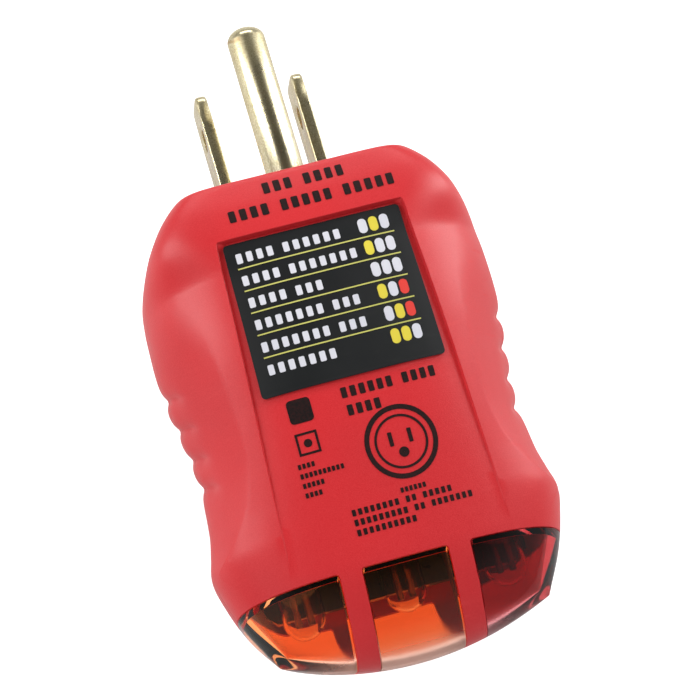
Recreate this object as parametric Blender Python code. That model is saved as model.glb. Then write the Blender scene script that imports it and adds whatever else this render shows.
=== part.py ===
"""Outlet tester plug: a hand-held plug body with three indicator windows and a test button.

Frame: the origin is midway between the two flat blades, on the plug face.
+Y points out along the prongs, +Z is the label side, +X is to the right of someone
who reads the label. The body lies on its flat back.

Sizes are in millimetres and are scaled to metres where a mesh is made.
"""

import math

import bmesh
import bpy
from mathutils import Matrix, Vector

MM = 0.001

# prongs of a 15 A, 125 V grounded plug
BLADE_SPACING = 12.7
BLADE_WIDTH = 6.35
BLADE_THICK = 1.5
BLADE_LENGTH = 17.3
BLADE_HOLE_RADIUS = 1.6
BLADE_HOLE_FROM_TIP = 5.2
PIN_OFFSET = 11.9
PIN_RADIUS = 2.4
PIN_LENGTH = 21.2
PIN_NOSE = 1.7
CARRIER_HALF = 10.5
CARRIER_END = 12.0
CARRIER_LOW = -5.6
CARRIER_HIGH = 17.0
PRONG_TAIL = 9.0
TAB_LENGTH = 4.5

# body
BODY_LENGTH = 60.8
PARTING_Z = 6.5
BACK_Z = -8.5
BACK_BULGE = 2.2
WALL = 1.6
FRONT_WALL = 2.1
END_WALL = 2.2
EDGE_ROUND = 0.5
END_BOW = 3.6
BOW_START = -44.0
SEAM = 0.24
SQUARE_END = 12.0

# half width of the body at its parting line, against Y
OUTLINE = [
    (0.0, 14.6), (-1.2, 16.1), (-3.0, 17.8), (-6.0, 19.8), (-10.0, 21.3), (-16.0, 21.8),
    (-22.0, 21.75), (-28.0, 20.95), (-34.0, 20.45), (-39.0, 20.75), (-42.0, 21.4),
    (-44.4, 21.95), (-47.0, 21.5), (-52.0, 19.8), (-57.2, 17.0),
]
# height of the front surface along its middle, before the lamp end rounds it off
CROWN = [
    (0.0, 18.1), (-4.0, 18.85), (-10.0, 19.35), (-18.0, 19.4), (-26.0, 18.85),
    (-34.0, 17.9), (-42.0, 16.45), (-49.4, 14.9), (-55.0, 13.4), (-60.8, 11.8),
]
# edge of the thumb scoops on the front surface
SCOOP_EDGE = [
    (0.0, 12.9), (-6.0, 15.6), (-14.0, 16.2), (-20.0, 15.5), (-26.0, 15.0), (-33.0, 14.9),
    (-36.5, 15.5), (-39.0, 16.5), (-41.5, 18.2), (-43.4, 20.0), (-45.0, 21.3),
    (-48.0, 19.4), (-57.2, 15.6),
]
SCOOP_FADE = (-13.0, -24.0)
SCOOP_END = -45.4
SCOOP_SLOPE = 0.30
FRONT_POWER = 3.6
BACK_POWER = 4.5

# recessed panel
PANEL_HALF = [(0.0, 11.5), (-8.0, 11.8), (-25.0, 12.6), (-49.4, 13.8), (-57.2, 14.4)]
PANEL_TOP = -7.4
PANEL_FADE = -49.0
PANEL_DEPTH = 0.95
PANEL_CORNER = 0.3
PANEL_SLOPE = 0.4

# side grips
GROOVES = (-24.8, -28.8, -32.8, -36.6)
GROOVE_DEPTH = 0.55
GROOVE_WIDTH = 0.95
GROOVE_REACH = 6.5
GROOVE_SLANT = 0.25
GRIP_START = -22.0
GRIP_END = -39.0

# windows
RIB_INNER = 5.4
RIB_OUTER = 8.1
WINDOW_Y = -49.4
WINDOW_Z = 14.7
WINDOW_TILT = 0.12
LENS_WALL = 1.4

# label
LABEL_TOP = -7.95
LABEL_LENGTH = 19.4
LABEL_HALF = 11.05
LABEL_FLARE = 0.4
LABEL_LIFT = 0.1
LABEL_THICK = 0.3

# inside
BOARD_Z = 2.0
BOARD_THICK = 1.6
BOARD_TOP = -15.0
BOARD_END = -51.5
BOARD_HALF = 10.7
BOARD_WIDE = 16.6
BOARD_STEP = -45.0
LAMP_X = 12.6
LAMP_Z = 7.2
LAMP_RADIUS = 2.6
LAMP_TIP = -54.6
LAMP_LENGTH = 9.4
SHROUD_Y = -46.0
SHROUD_THICK = 1.6
DIVIDER_X = (RIB_INNER + RIB_OUTER) / 2
DIVIDER_THICK = 1.2
SCREW_X = 14.4
SCREW_PLACES = [(-SCREW_X, -11.6), (SCREW_X, -11.6), (-SCREW_X, -41.2), (SCREW_X, -41.2)]
BOSS_RADIUS = 2.7
SCREW_HEAD = 2.3
SCREW_SHANK = 1.15
SCREW_TOP = 12.6
HEAD_POST = 3.3
HEAD_SEAT = -1.0
BOARD_POSTS = [(-9.0, -19.0), (9.0, -19.0), (-9.0, -42.5), (9.0, -42.5)]

# test button
BUTTON_Y = -30.0
BUTTON_RADIUS = 4.5
BUTTON_TRAVEL = 1.5
BUTTON_SUNK = 0.3
DISH_RADIUS = 9.5
DISH_DEPTH = 1.1
GUIDE_GAP = 0.25
FLANGE_RADIUS = 5.7
FLANGE_THICK = 0.9
PAD_TOP = -5.4
STEM_RADIUS = 1.5
BRIDGE_RADIUS = 3.0
BRIDGE_THICK = 0.4
CONTACT_RADIUS = 1.0
CONTACT_THICK = 0.5
SPRING_RADIUS = 3.9
SPRING_WIRE = 0.3
SPRING_TURNS = 3.5

RED = (0.62, 0.035, 0.045)
BLACK = (0.02, 0.02, 0.022)
AMBER = (0.85, 0.16, 0.03)
DEEP_RED = (0.55, 0.02, 0.025)
BRASS = (0.75, 0.66, 0.40)
STEEL = (0.62, 0.62, 0.60)
GREEN = (0.03, 0.16, 0.07)
TAN = (0.62, 0.45, 0.26)


def clear_scene():
    for obj in list(bpy.data.objects):
        bpy.data.objects.remove(obj, do_unlink=True)


def material(name, color, roughness, metallic=0.0, alpha=1.0):
    mat = bpy.data.materials.new(name)
    mat.use_nodes = True
    shader = mat.node_tree.nodes["Principled BSDF"]
    shader.inputs["Base Color"].default_value = (*color, 1.0)
    shader.inputs["Roughness"].default_value = roughness
    shader.inputs["Metallic"].default_value = metallic
    shader.inputs["Alpha"].default_value = alpha
    return mat


def finish_mesh(bm, name, mat=None, origin=(0.0, 0.0, 0.0)):
    """Makes an object from a mesh in millimetres, with its origin at the given place."""
    bmesh.ops.recalc_face_normals(bm, faces=bm.faces)
    bmesh.ops.translate(bm, verts=bm.verts, vec=-Vector(origin))
    bmesh.ops.scale(bm, verts=bm.verts, vec=(MM, MM, MM))
    mesh = bpy.data.meshes.new(name)
    bm.to_mesh(mesh)
    bm.free()
    mesh.shade_smooth()
    mesh.set_sharp_from_angle(angle=math.radians(35))
    obj = bpy.data.objects.new(name, mesh)
    obj.location = Vector(origin) * MM
    bpy.context.scene.collection.objects.link(obj)
    if mat:
        mesh.materials.append(mat)
    else:
        obj.hide_render = True
        obj.display_type = "WIRE"
    return obj


def combine(obj, other, operation):
    change = obj.modifiers.new(f"{operation.lower()} {other.name}", "BOOLEAN")
    change.operation = operation
    change.object = other
    return obj


# ---- the body's surface ----


def smoothstep(low, high, value):
    t = min(max((value - low) / (high - low), 0.0), 1.0)
    return t * t * (3.0 - 2.0 * t)


def along(knots, y):
    """A smooth curve through the knots, which run down in Y."""
    if y >= knots[0][0]:
        return knots[0][1]
    if y <= knots[-1][0]:
        return knots[-1][1]
    at = next(i for i in range(len(knots) - 1) if knots[i + 1][0] <= y)
    (y0, a), (y1, b) = knots[at], knots[at + 1]

    def slope(i):
        low, high = max(i - 1, 0), min(i + 1, len(knots) - 1)
        return (knots[high][1] - knots[low][1]) / (knots[high][0] - knots[low][0])

    step = y1 - y0
    t = (y - y0) / step
    rise = (2 * t**3 - 3 * t**2 + 1) * a + (3 * t**2 - 2 * t**3) * b
    return rise + step * ((t**3 - 2 * t**2 + t) * slope(at) + (t**3 - t**2) * slope(at + 1))


def end_round(y, start, power):
    """Falls from 1 to 0 between start and the tip of the lamp end."""
    t = min(max((start - y) / (start + BODY_LENGTH), 0.0), 1.0)
    return math.sqrt(max(1.0 - t**power, 0.0))


def bulge(share, y, power):
    """Height across the body as a share of its middle: rounded, but nearly square at the plug face."""
    square = 1.0 - smoothstep(0.0, SQUARE_END, -y)
    return max(1.0 - share ** (power + 6.0 * square), 0.0) ** (1.0 / (2.0 + 4.0 * square))


def front_section(share, y, half):
    """Height of the front surface across the body, as a share of its crown."""
    main = bulge(share, y, FRONT_POWER)
    edge = along(SCOOP_EDGE, y) / half
    if y < SCOOP_END or share <= edge or edge >= 1.0:
        return main
    t = min((share - edge) / (1.0 - edge), 1.0)
    fall = SCOOP_SLOPE * t + (1.0 - SCOOP_SLOPE) * (1.0 - math.sqrt(max(1.0 - t * t, 0.0)))
    scooped = bulge(edge, y, FRONT_POWER) * (1.0 - fall)
    blend = smoothstep(-SCOOP_FADE[0], -SCOOP_FADE[1], -y)
    return main + (scooped - main) * blend


def panel_depth(x, y):
    """How deep the recessed panel is below the front surface."""
    side = abs(x) - along(PANEL_HALF, y)
    top = y - PANEL_TOP
    out = Vector((max(side + PANEL_CORNER, 0.0), max(top + PANEL_CORNER, 0.0))).length
    distance = out + min(max(side, top) + PANEL_CORNER, 0.0) - PANEL_CORNER
    fade = min(max((PANEL_TOP - y) / (PANEL_TOP - PANEL_FADE), 0.0), 1.0)
    return PANEL_DEPTH * (1.0 - fade**2) * smoothstep(0.0, PANEL_SLOPE, -distance)


def groove(y, z):
    reach = 1.0 - smoothstep(0.35 * GROOVE_REACH, GROOVE_REACH, abs(z - PARTING_Z))
    centre = y + GROOVE_SLANT * (z - PARTING_Z)
    return GROOVE_DEPTH * reach * sum(
        math.exp(-(((centre - at) / GROOVE_WIDTH) ** 2)) for at in GROOVES
    )


def surface_point(x, row, half, inset, side):
    """A point of the body's surface: side is 1 on the front and -1 on the back."""
    share = min(abs(x) / half, 1.0)
    if side > 0:
        extra = FRONT_WALL - WALL if inset >= WALL else 0.0
        rise = (along(CROWN, row) - PARTING_Z - inset - extra) * end_round(row, -48.0, 2.4)
        z = PARTING_Z + rise * front_section(share, row, half)
        if inset < WALL:
            z -= panel_depth(x, row)
    else:
        plug_taper = 1.6 * (1.0 - smoothstep(0.0, 9.0, -row))
        depth = PARTING_Z - BACK_Z + BACK_BULGE - plug_taper - inset
        z = PARTING_Z - depth * end_round(row, -45.0, 2.2) * bulge(share, row, BACK_POWER)
        z = max(z, BACK_Z + inset)
    if inset < WALL:
        x -= math.copysign(groove(row, z), x)
    toward_end = smoothstep(-BOW_START, BODY_LENGTH, -row)
    y = row + (END_BOW * (x / half) ** 2 + (inset if inset >= 0.8 else 0.0)) * toward_end
    return Vector((x, y, z))


def columns(row, half, counts):
    """X places across half of the body, with lines on the panel's and the scoop's edges."""
    full = along(OUTLINE, row)
    panel = along(PANEL_HALF, row)
    scoop = min(max(along(SCOOP_EDGE, row), panel + 0.4), full - 0.3)
    knots = [0.0, DIVIDER_X, panel - PANEL_SLOPE, panel, scoop, full]
    found = [0.0]
    for low, high, count in zip(knots, knots[1:], counts):
        for step in range(1, count + 1):
            t = step / count
            if high == full:
                t = math.sin(t * math.pi / 2)
            found.append(low + (high - low) * t)
    return [x * half / full for x in found]


def spread(start, end, count):
    return [start + (end - start) * step / count for step in range(1, count + 1)]


def lamp_end_rows(start, count):
    """Rows to the tip of the lamp end, closer together where the surface turns down."""
    turn = [math.sin(step / count * math.pi / 2) for step in range(1, count + 1)]
    return [start - (start + BODY_LENGTH) * t for t in turn]


def body_solid(name, inset=0.0):
    """The closed outer shape of the body, or the same shape set in all round."""
    if inset:
        counts = (2, 1, 0, 1, 4)
        rows = [-END_WALL] + spread(-END_WALL, -42.0, 7) + lamp_end_rows(-42.0, 6)
        lines_at = [(row, inset) for row in rows]
    else:
        counts = (2, 1, 1, 2, 4)
        turns = [step / 2 * math.pi / 2 for step in range(3)]
        lines_at = [
            (EDGE_ROUND * (math.cos(a) - 1.0), EDGE_ROUND * (1.0 - math.sin(a))) for a in turns
        ]
        rows = spread(-EDGE_ROUND, PANEL_TOP, 4) + spread(PANEL_TOP, PANEL_TOP - PANEL_SLOPE, 1)
        rows += spread(PANEL_TOP - PANEL_SLOPE, GRIP_START, 4) + spread(GRIP_START, GRIP_END, 13)
        rows += spread(GRIP_END, WINDOW_Y, 5) + lamp_end_rows(WINDOW_Y, 7)
        lines_at += [(row, 0.0) for row in rows]
    bm = bmesh.new()
    ends = []
    for side in (1, -1):
        lines = []
        for row, trim in lines_at:
            bow = END_BOW * smoothstep(-BOW_START, BODY_LENGTH, -row)
            half = along(OUTLINE, row + bow) - trim
            xs = columns(row, half, counts)
            xs = [-x for x in reversed(xs[1:])] + xs
            lines.append([bm.verts.new(surface_point(x, row, half, trim, side)) for x in xs])
        for one, two in zip(lines, lines[1:]):
            for at in range(len(one) - 1):
                bm.faces.new((one[at], one[at + 1], two[at + 1], two[at]))
        ends.append(lines[0])
    bm.faces.new(ends[0] + list(reversed(ends[1])))
    bmesh.ops.remove_doubles(bm, verts=bm.verts, dist=0.004)
    return finish_mesh(bm, name)


# ---- simple solids ----

# a turned profile rises along +Z, and is then laid along its own axis
TURNS = {
    "X": Matrix.Rotation(math.pi / 2, 3, "Y"),
    "Y": Matrix.Rotation(-math.pi / 2, 3, "X"),
    "Z": Matrix.Identity(3),
}


def box(name, low, high, mat=None):
    bm = bmesh.new()
    bmesh.ops.create_cube(bm, size=1.0)
    size = Vector(high) - Vector(low)
    bmesh.ops.scale(bm, verts=bm.verts, vec=size)
    bmesh.ops.translate(bm, verts=bm.verts, vec=Vector(low) + size / 2)
    return finish_mesh(bm, name, mat)


def turned(name, profile, centre, axis="Z", mat=None, steps=24, origin=(0.0, 0.0, 0.0)):
    """A solid of revolution: the profile's (radius, height) points start and end on the axis."""
    bm = bmesh.new()
    rings = []
    for radius, height in profile:
        if radius < 1e-6:
            rings.append([bm.verts.new((0.0, 0.0, height))])
            continue
        ring = []
        for step in range(steps):
            angle = 2 * math.pi * step / steps
            ring.append(bm.verts.new((radius * math.cos(angle), radius * math.sin(angle), height)))
        rings.append(ring)
    for low, high in zip(rings, rings[1:]):
        for at in range(steps):
            after = (at + 1) % steps
            corners = [low[at % len(low)], low[after % len(low)]]
            corners += [high[after % len(high)], high[at % len(high)]]
            bm.faces.new(list(dict.fromkeys(corners)))
    bmesh.ops.rotate(bm, verts=bm.verts, cent=(0, 0, 0), matrix=TURNS[axis])
    bmesh.ops.translate(bm, verts=bm.verts, vec=centre)
    return finish_mesh(bm, name, mat, origin)


def rod(name, radius, low, high, centre, axis="Z", mat=None, steps=24):
    profile = [(0.0, low), (radius, low), (radius, high), (0.0, high)]
    return turned(name, profile, centre, axis, mat, steps)


def plate(name, outline, low, high, axis="Z", mat=None):
    """A flat outline pushed from low to high: in XY along Z, or in YZ along X."""
    bm = bmesh.new()
    spot = {"Z": lambda a, b, c: (a, b, c), "X": lambda a, b, c: (c, a, b)}[axis]
    foot = [bm.verts.new(spot(a, b, low)) for a, b in outline]
    head = [bm.verts.new(spot(a, b, high)) for a, b in outline]
    bm.faces.new(foot)
    bm.faces.new(head)
    for at in range(len(foot)):
        after = (at + 1) % len(foot)
        bm.faces.new((foot[at], foot[after], head[after], head[at]))
    return finish_mesh(bm, name, mat)


def tube(name, points, radius, mat, sides=2, origin=(0.0, 0.0, 0.0)):
    """A round wire along the points."""
    curve = bpy.data.curves.new(name, "CURVE")
    curve.dimensions = "3D"
    curve.bevel_depth = radius * MM
    curve.bevel_resolution = sides
    curve.use_fill_caps = True
    spline = curve.splines.new("POLY")
    spline.points.add(len(points) - 1)
    for spot, place in zip(spline.points, points):
        spot.co = (*((Vector(place) - Vector(origin)) * MM), 1.0)
    obj = bpy.data.objects.new(name, curve)
    obj.location = Vector(origin) * MM
    bpy.context.scene.collection.objects.link(obj)
    curve.materials.append(mat)
    return obj


def smooth_path(knots, per_span=4):
    """Points on a smooth curve through the knots."""
    spots = [Vector(k) for k in knots]
    spots = [2 * spots[0] - spots[1]] + spots + [2 * spots[-1] - spots[-2]]
    path = []
    for a, b, c, d in zip(spots, spots[1:], spots[2:], spots[3:]):
        for step in range(per_span):
            t = step / per_span
            bend = (2 * a - 5 * b + 4 * c - d) * t**2 + (3 * b - a - 3 * c + d) * t**3
            path.append(b + 0.5 * ((c - a) * t + bend))
    return path + [spots[-2]]


def show(obj, mat):
    """Makes a helper shape a piece of the object."""
    obj.hide_render = False
    obj.display_type = "TEXTURED"
    obj.data.materials.append(mat)
    return obj


# ---- cutters that several pieces share ----


def window_prism(name, low_x, high_x, start=0.0, end=-80.0):
    """The space beyond the tilted joint line of the windows, between two X places."""

    def joint(z):
        return WINDOW_Y - WINDOW_TILT * (WINDOW_Z - z) + start

    outline = [(joint(-30.0), -30.0), (joint(40.0), 40.0), (end, 40.0), (end, -30.0)]
    return plate(name, outline, low_x, high_x, "X")


def prong_cutters(name, gap, depth):
    """Two slots and a round hole for the prongs, from the plug face inwards."""
    slots = []
    for sign in (-1, 1):
        x = sign * BLADE_SPACING / 2
        reach_x = BLADE_THICK / 2 + gap
        reach_z = BLADE_WIDTH / 2 + gap
        low = (x - reach_x, -depth, -reach_z)
        high = (x + reach_x, 2.0, reach_z)
        slots.append(box(f"{name}_slot_{sign}", low, high))
    hole = rod(f"{name}_hole", PIN_RADIUS + gap, -depth, 2.0, (0, 0, PIN_OFFSET), "Y")
    return slots, hole


# ---- casing ----


def make_shells(helpers):
    """The two halves of the casing: hollow bodies with their bosses, cut at the seam and the windows."""
    front = show(body_solid("front_shell"), helpers["red"])
    back = show(body_solid("back_shell"), helpers["red"])
    core = body_solid("core", 0.8)
    cavity = body_solid("cavity", WALL)
    for shell in (front, back):
        combine(shell, cavity, "DIFFERENCE")
    add_front_bosses(front, core)
    add_back_features(back, core)
    above = box("above_seam", (-40, -80, PARTING_Z + SEAM / 2), (40, 20, 40))
    below = box("below_seam", (-40, -80, -40), (40, 20, PARTING_Z - SEAM / 2))
    for shell, half_space in ((front, above), (back, below)):
        combine(shell, half_space, "INTERSECT")
        for window in helpers["windows"]:
            combine(shell, window, "DIFFERENCE")
    for slot in helpers["face_slots"]:
        combine(back, slot, "DIFFERENCE")
    combine(front, helpers["face_hole"], "DIFFERENCE")


def add_front_bosses(front, core):
    """Posts in the front shell that the four screws bite into."""
    for number, (x, y) in enumerate(SCREW_PLACES, 1):
        post = rod(f"front_post_{number}", BOSS_RADIUS, PARTING_Z - 1.0, 18.0, (x, y, 0), steps=20)
        combine(post, core, "INTERSECT")
        combine(front, post, "UNION")
        pilot = rod(f"pilot_{number}", SCREW_SHANK + 0.15, 0.0, SCREW_TOP + 0.3, (x, y, 0), steps=16)
        combine(front, pilot, "DIFFERENCE")


def add_back_features(back, core):
    """Screw bosses, board posts, and the finger dish with the button's hole."""
    for number, (x, y) in enumerate(SCREW_PLACES, 1):
        post = rod(f"back_post_{number}", HEAD_POST, -20.0, PARTING_Z + 1.0, (x, y, 0), steps=20)
        combine(post, core, "INTERSECT")
        combine(back, post, "UNION")
        sink = rod(f"sink_{number}", SCREW_HEAD + 0.3, -20.0, HEAD_SEAT, (x, y, 0), steps=16)
        combine(back, sink, "DIFFERENCE")
        passage = rod(f"passage_{number}", SCREW_SHANK + 0.3, -20.0, 12.0, (x, y, 0), steps=16)
        combine(back, passage, "DIFFERENCE")
    for number, (x, y) in enumerate(BOARD_POSTS, 1):
        post = rod(f"board_post_{number}", 1.2, -7.6, BOARD_Z - 0.15, (x, y, 0), steps=12)
        combine(back, post, "UNION")
    pad = rod("button_pad", DISH_RADIUS - 0.5, -7.9, PAD_TOP, (0, BUTTON_Y, 0), steps=32)
    combine(back, pad, "UNION")
    sphere = (DISH_RADIUS**2 + DISH_DEPTH**2) / (2 * DISH_DEPTH)
    arc = [step / 5 * math.asin(DISH_RADIUS / sphere) for step in range(6)]
    rise = [(sphere * math.sin(a), BACK_Z + DISH_DEPTH - sphere * (1 - math.cos(a))) for a in arc]
    dish = turned("dish", [(0.0, -20.0), (DISH_RADIUS, -20.0)] + rise[::-1], (0, BUTTON_Y, 0), steps=32)
    combine(back, dish, "DIFFERENCE")
    hole = rod("button_hole", BUTTON_RADIUS + GUIDE_GAP, -20.0, PAD_TOP + 1.0, (0, BUTTON_Y, 0), steps=32)
    combine(back, hole, "DIFFERENCE")


def make_lenses(helpers):
    lens_cavity = body_solid("lens_cavity", LENS_WALL)
    gap = 0.15
    spans = {
        "lens_left": (-30.0, -RIB_OUTER - gap, helpers["amber"]),
        "lens_centre": (-RIB_INNER + gap, RIB_INNER - gap, helpers["amber"]),
        "lens_right": (RIB_OUTER + gap, 30.0, helpers["deep_red"]),
    }
    for name, (low, high, mat) in spans.items():
        lens = show(body_solid(name), mat)
        combine(lens, lens_cavity, "DIFFERENCE")
        combine(lens, window_prism(f"{name}_space", low, high, -gap), "INTERSECT")


def make_label(mat):
    """The legend plate, which lies on the floor of the recessed panel."""
    bm = bmesh.new()
    layers = []
    for lift in (LABEL_LIFT, LABEL_LIFT + LABEL_THICK):
        lines = []
        for row in [LABEL_TOP - LABEL_LENGTH * step / 8 for step in range(9)]:
            shell_half = along(OUTLINE, row)
            half = LABEL_HALF + (LABEL_FLARE * (LABEL_TOP - row) / LABEL_LENGTH)
            line = []
            for share in (-1.0, -0.6, -0.2, 0.2, 0.6, 1.0):
                across = front_section(abs(share) * half / shell_half, row, shell_half)
                crown = PARTING_Z + (along(CROWN, row) - PARTING_Z) * across
                floor = crown - panel_depth(0.0, row)
                line.append(bm.verts.new((share * half, row, floor + lift)))
            lines.append(line)
        layers.append(lines)
        for one, two in zip(lines, lines[1:]):
            for at in range(5):
                bm.faces.new((one[at], one[at + 1], two[at + 1], two[at]))
    rims = []
    for lines in layers:
        left = [line[0] for line in lines]
        right = [line[-1] for line in lines]
        rims.append(lines[0][:-1] + right[:-1] + lines[-1][:0:-1] + left[:0:-1])
    low, high = rims
    for at in range(len(low)):
        after = (at + 1) % len(low)
        bm.faces.new((low[at], low[after], high[after], high[at]))
    return finish_mesh(bm, "label_plate", mat)


# ---- prongs and their carrier ----


def make_blade(name, sign, mat):
    """A flat blade: chamfered tip, hole near the tip, and a narrow solder tab behind."""
    half = BLADE_WIDTH / 2
    tip = BLADE_LENGTH
    outline = [
        (-PRONG_TAIL, -half), (tip - 1.6, -half), (tip - 0.3, -half + 1.3), (tip, -half + 2.0),
        (tip, half - 2.0), (tip - 0.3, half - 1.3), (tip - 1.6, half), (-PRONG_TAIL, half),
        (-PRONG_TAIL, 1.4), (-PRONG_TAIL - TAB_LENGTH, 1.4),
        (-PRONG_TAIL - TAB_LENGTH, -1.4), (-PRONG_TAIL, -1.4),
    ]
    x = sign * BLADE_SPACING / 2
    blade = plate(name, outline, x - BLADE_THICK / 2, x + BLADE_THICK / 2, "X", mat)
    hole_at = (0, tip - BLADE_HOLE_FROM_TIP, 0)
    hole = rod(f"{name}_hole", BLADE_HOLE_RADIUS, x - 3, x + 3, hole_at, "X", steps=20)
    combine(blade, hole, "DIFFERENCE")
    return blade


def make_pin(mat):
    """The round ground pin with its rounded nose and a thin tail."""
    nose = [step / 5 * math.pi / 2 for step in range(6)]
    profile = [(0.0, -PRONG_TAIL - TAB_LENGTH), (1.1, -PRONG_TAIL - TAB_LENGTH), (1.1, -PRONG_TAIL)]
    profile += [(PIN_RADIUS, -PRONG_TAIL)]
    profile += [(PIN_RADIUS * math.cos(a), PIN_LENGTH - PIN_NOSE * (1 - math.sin(a))) for a in nose[:-1]]
    profile += [(0.0, PIN_LENGTH)]
    turned("ground_pin", profile, (0, 0, PIN_OFFSET), "Y", mat)


def make_carrier(mat):
    low = (-CARRIER_HALF, -CARRIER_END, CARRIER_LOW)
    high = (CARRIER_HALF, -END_WALL - 0.2, CARRIER_HIGH)
    block = box("prong_carrier", low, high, mat)
    slots, hole = prong_cutters("carrier", 0.12, 20.0)
    for cutter in slots + [hole]:
        combine(block, cutter, "DIFFERENCE")
    combine(block, body_solid("carrier_limit", WALL + 0.55), "INTERSECT")


# ---- inside ----


def make_board(mat):
    half = [
        (BOARD_HALF, BOARD_TOP), (BOARD_HALF, BOARD_STEP), (BOARD_WIDE, BOARD_STEP),
        (BOARD_WIDE, BOARD_END + 1.2), (BOARD_WIDE - 1.2, BOARD_END),
    ]
    outline = half + [(-x, y) for x, y in reversed(half)]
    plate("circuit_board", outline, BOARD_Z, BOARD_Z + BOARD_THICK, mat=mat)


def make_lamps(mat):
    """Three small glow lamps that lie above the board and point into the windows."""
    base = LAMP_TIP + LAMP_LENGTH
    dome = [step / 4 * math.pi / 2 for step in range(5)]
    for name, x in (("lamp_left", -LAMP_X), ("lamp_centre", 0.0), ("lamp_right", LAMP_X)):
        profile = [(0.0, LAMP_TIP)]
        profile += [
            (LAMP_RADIUS * math.sin(a), LAMP_TIP + LAMP_RADIUS * (1 - math.cos(a))) for a in dome[1:]
        ]
        profile += [(LAMP_RADIUS, base - 0.8), (LAMP_RADIUS - 0.7, base), (0.0, base)]
        turned(name, profile, (x, 0, LAMP_Z), "Y", mat, steps=16)


def make_shroud(mat):
    """The dark wall that the lamps stick through, with a divider behind each rib."""
    floor = BOARD_Z + BOARD_THICK + 0.3
    reach = BOARD_WIDE + 1.0
    wall = box("lamp_shroud", (-reach, SHROUD_Y - SHROUD_THICK, floor), (reach, SHROUD_Y, 20), mat)
    for x in (-LAMP_X, 0.0, LAMP_X):
        hole = rod(f"lamp_hole_{x:.0f}", LAMP_RADIUS + 0.3, -60, -40, (x, 0, LAMP_Z), "Y", steps=20)
        combine(wall, hole, "DIFFERENCE")
    for sign in (-1, 1):
        x = sign * DIVIDER_X
        low = (x - DIVIDER_THICK / 2, -57.5, floor)
        high = (x + DIVIDER_THICK / 2, SHROUD_Y - SHROUD_THICK / 2, 20)
        combine(wall, box(f"divider_{sign}", low, high), "UNION")
    combine(wall, body_solid("shroud_limit", WALL + 0.4), "INTERSECT")


def resistor(name, radius, length, lead, centre, axis, mat):
    """A resistor's body with a wire stub at each end."""
    half = length / 2
    waist = 0.86 * radius
    profile = [
        (0.0, -half - lead), (0.3, -half - lead), (0.3, -half), (0.8 * radius, -half),
        (radius, -half + 0.3 * radius), (radius, -half + 0.22 * length), (waist, -half + 0.3 * length),
        (waist, half - 0.3 * length), (radius, half - 0.22 * length), (radius, half - 0.3 * radius),
        (0.8 * radius, half), (0.3, half), (0.3, half + lead), (0.0, half + lead),
    ]
    turned(name, profile, centre, axis, mat, steps=12)


def make_electrics(helpers):
    top = BOARD_Z + BOARD_THICK
    for name, x in (("resistor_left", -8.5), ("resistor_centre", 0.0), ("resistor_right", 8.5)):
        resistor(name, 1.15, 6.3, 1.2, (x, -37.5, top + 1.4), "Y", helpers["tan"])
    resistor("test_resistor", 2.2, 11.0, 1.6, (0, -23.5, top + 2.45), "X", helpers["green"])
    tail = -PRONG_TAIL - TAB_LENGTH
    under = BOARD_Z - 0.2
    for name, sign in (("hot_wire", -1), ("neutral_wire", 1)):
        x = sign * BLADE_SPACING / 2
        route = [
            (x, tail - 0.3, 0.0), (x, tail - 2.2, -1.0),
            (x * 0.95, tail - 4.4, -1.0), (x * 0.9, tail - 5.4, under),
        ]
        tube(name, smooth_path(route), 0.65, helpers["black" if sign < 0 else "white"])
    route = [
        (0.0, tail - 0.3, PIN_OFFSET), (0.5, tail - 2.6, PIN_OFFSET - 0.6),
        (1.2, tail - 4.2, PIN_OFFSET - 3.6), (1.4, tail - 4.4, top + 0.2),
    ]
    tube("ground_wire", smooth_path(route), 0.65, helpers["green"])
    for name, x in (("contact_hot", -1.9), ("contact_ground", 1.9)):
        low = BOARD_Z - 0.15 - CONTACT_THICK
        high = low + CONTACT_THICK
        rod(name, CONTACT_RADIUS, low, high, (x, BUTTON_Y, 0), mat=helpers["brass"], steps=16)


# ---- test button ----


def make_button(helpers):
    """The button, its contact bridge and its spring. The button's origin is on its sliding axis."""
    axis = (0.0, BUTTON_Y, 0.0)
    contact = BOARD_Z - 0.15 - CONTACT_THICK
    bridge_top = contact - 0.08 - BUTTON_TRAVEL
    bridge_low = bridge_top - BRIDGE_THICK
    flange = PAD_TOP + 0.2
    face = BACK_Z + BUTTON_SUNK
    profile = [
        (0.0, face), (0.6 * BUTTON_RADIUS, face + 0.1), (BUTTON_RADIUS - 0.5, face + 0.25),
        (BUTTON_RADIUS, face + 0.75), (BUTTON_RADIUS, flange), (FLANGE_RADIUS, flange),
        (FLANGE_RADIUS, flange + FLANGE_THICK), (STEM_RADIUS + 0.7, flange + FLANGE_THICK),
        (STEM_RADIUS + 0.7, bridge_low - 0.1), (STEM_RADIUS, bridge_low - 0.1),
        (STEM_RADIUS, bridge_top - 0.1), (0.0, bridge_top - 0.1),
    ]
    turned("test_button", profile, axis, mat=helpers["black"], steps=32, origin=axis)
    disc = rod("contact_bridge", BRIDGE_RADIUS, bridge_low, bridge_top, axis, mat=helpers["brass"])
    opening = rod("bridge_opening", STEM_RADIUS + 0.1, -20, 20, axis)
    combine(disc, opening, "DIFFERENCE")
    low = flange + FLANGE_THICK + SPRING_WIRE + 0.05
    high = BOARD_Z - SPRING_WIRE - 0.15
    steps = int(SPRING_TURNS * 12)
    coil = []
    for step in range(steps + 1):
        angle = 2 * math.pi * SPRING_TURNS * step / steps
        x = SPRING_RADIUS * math.cos(angle)
        y = BUTTON_Y + SPRING_RADIUS * math.sin(angle)
        coil.append((x, y, low + (high - low) * step / steps))
    tube("button_spring", coil, SPRING_WIRE, helpers["steel"], 1)


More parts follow.
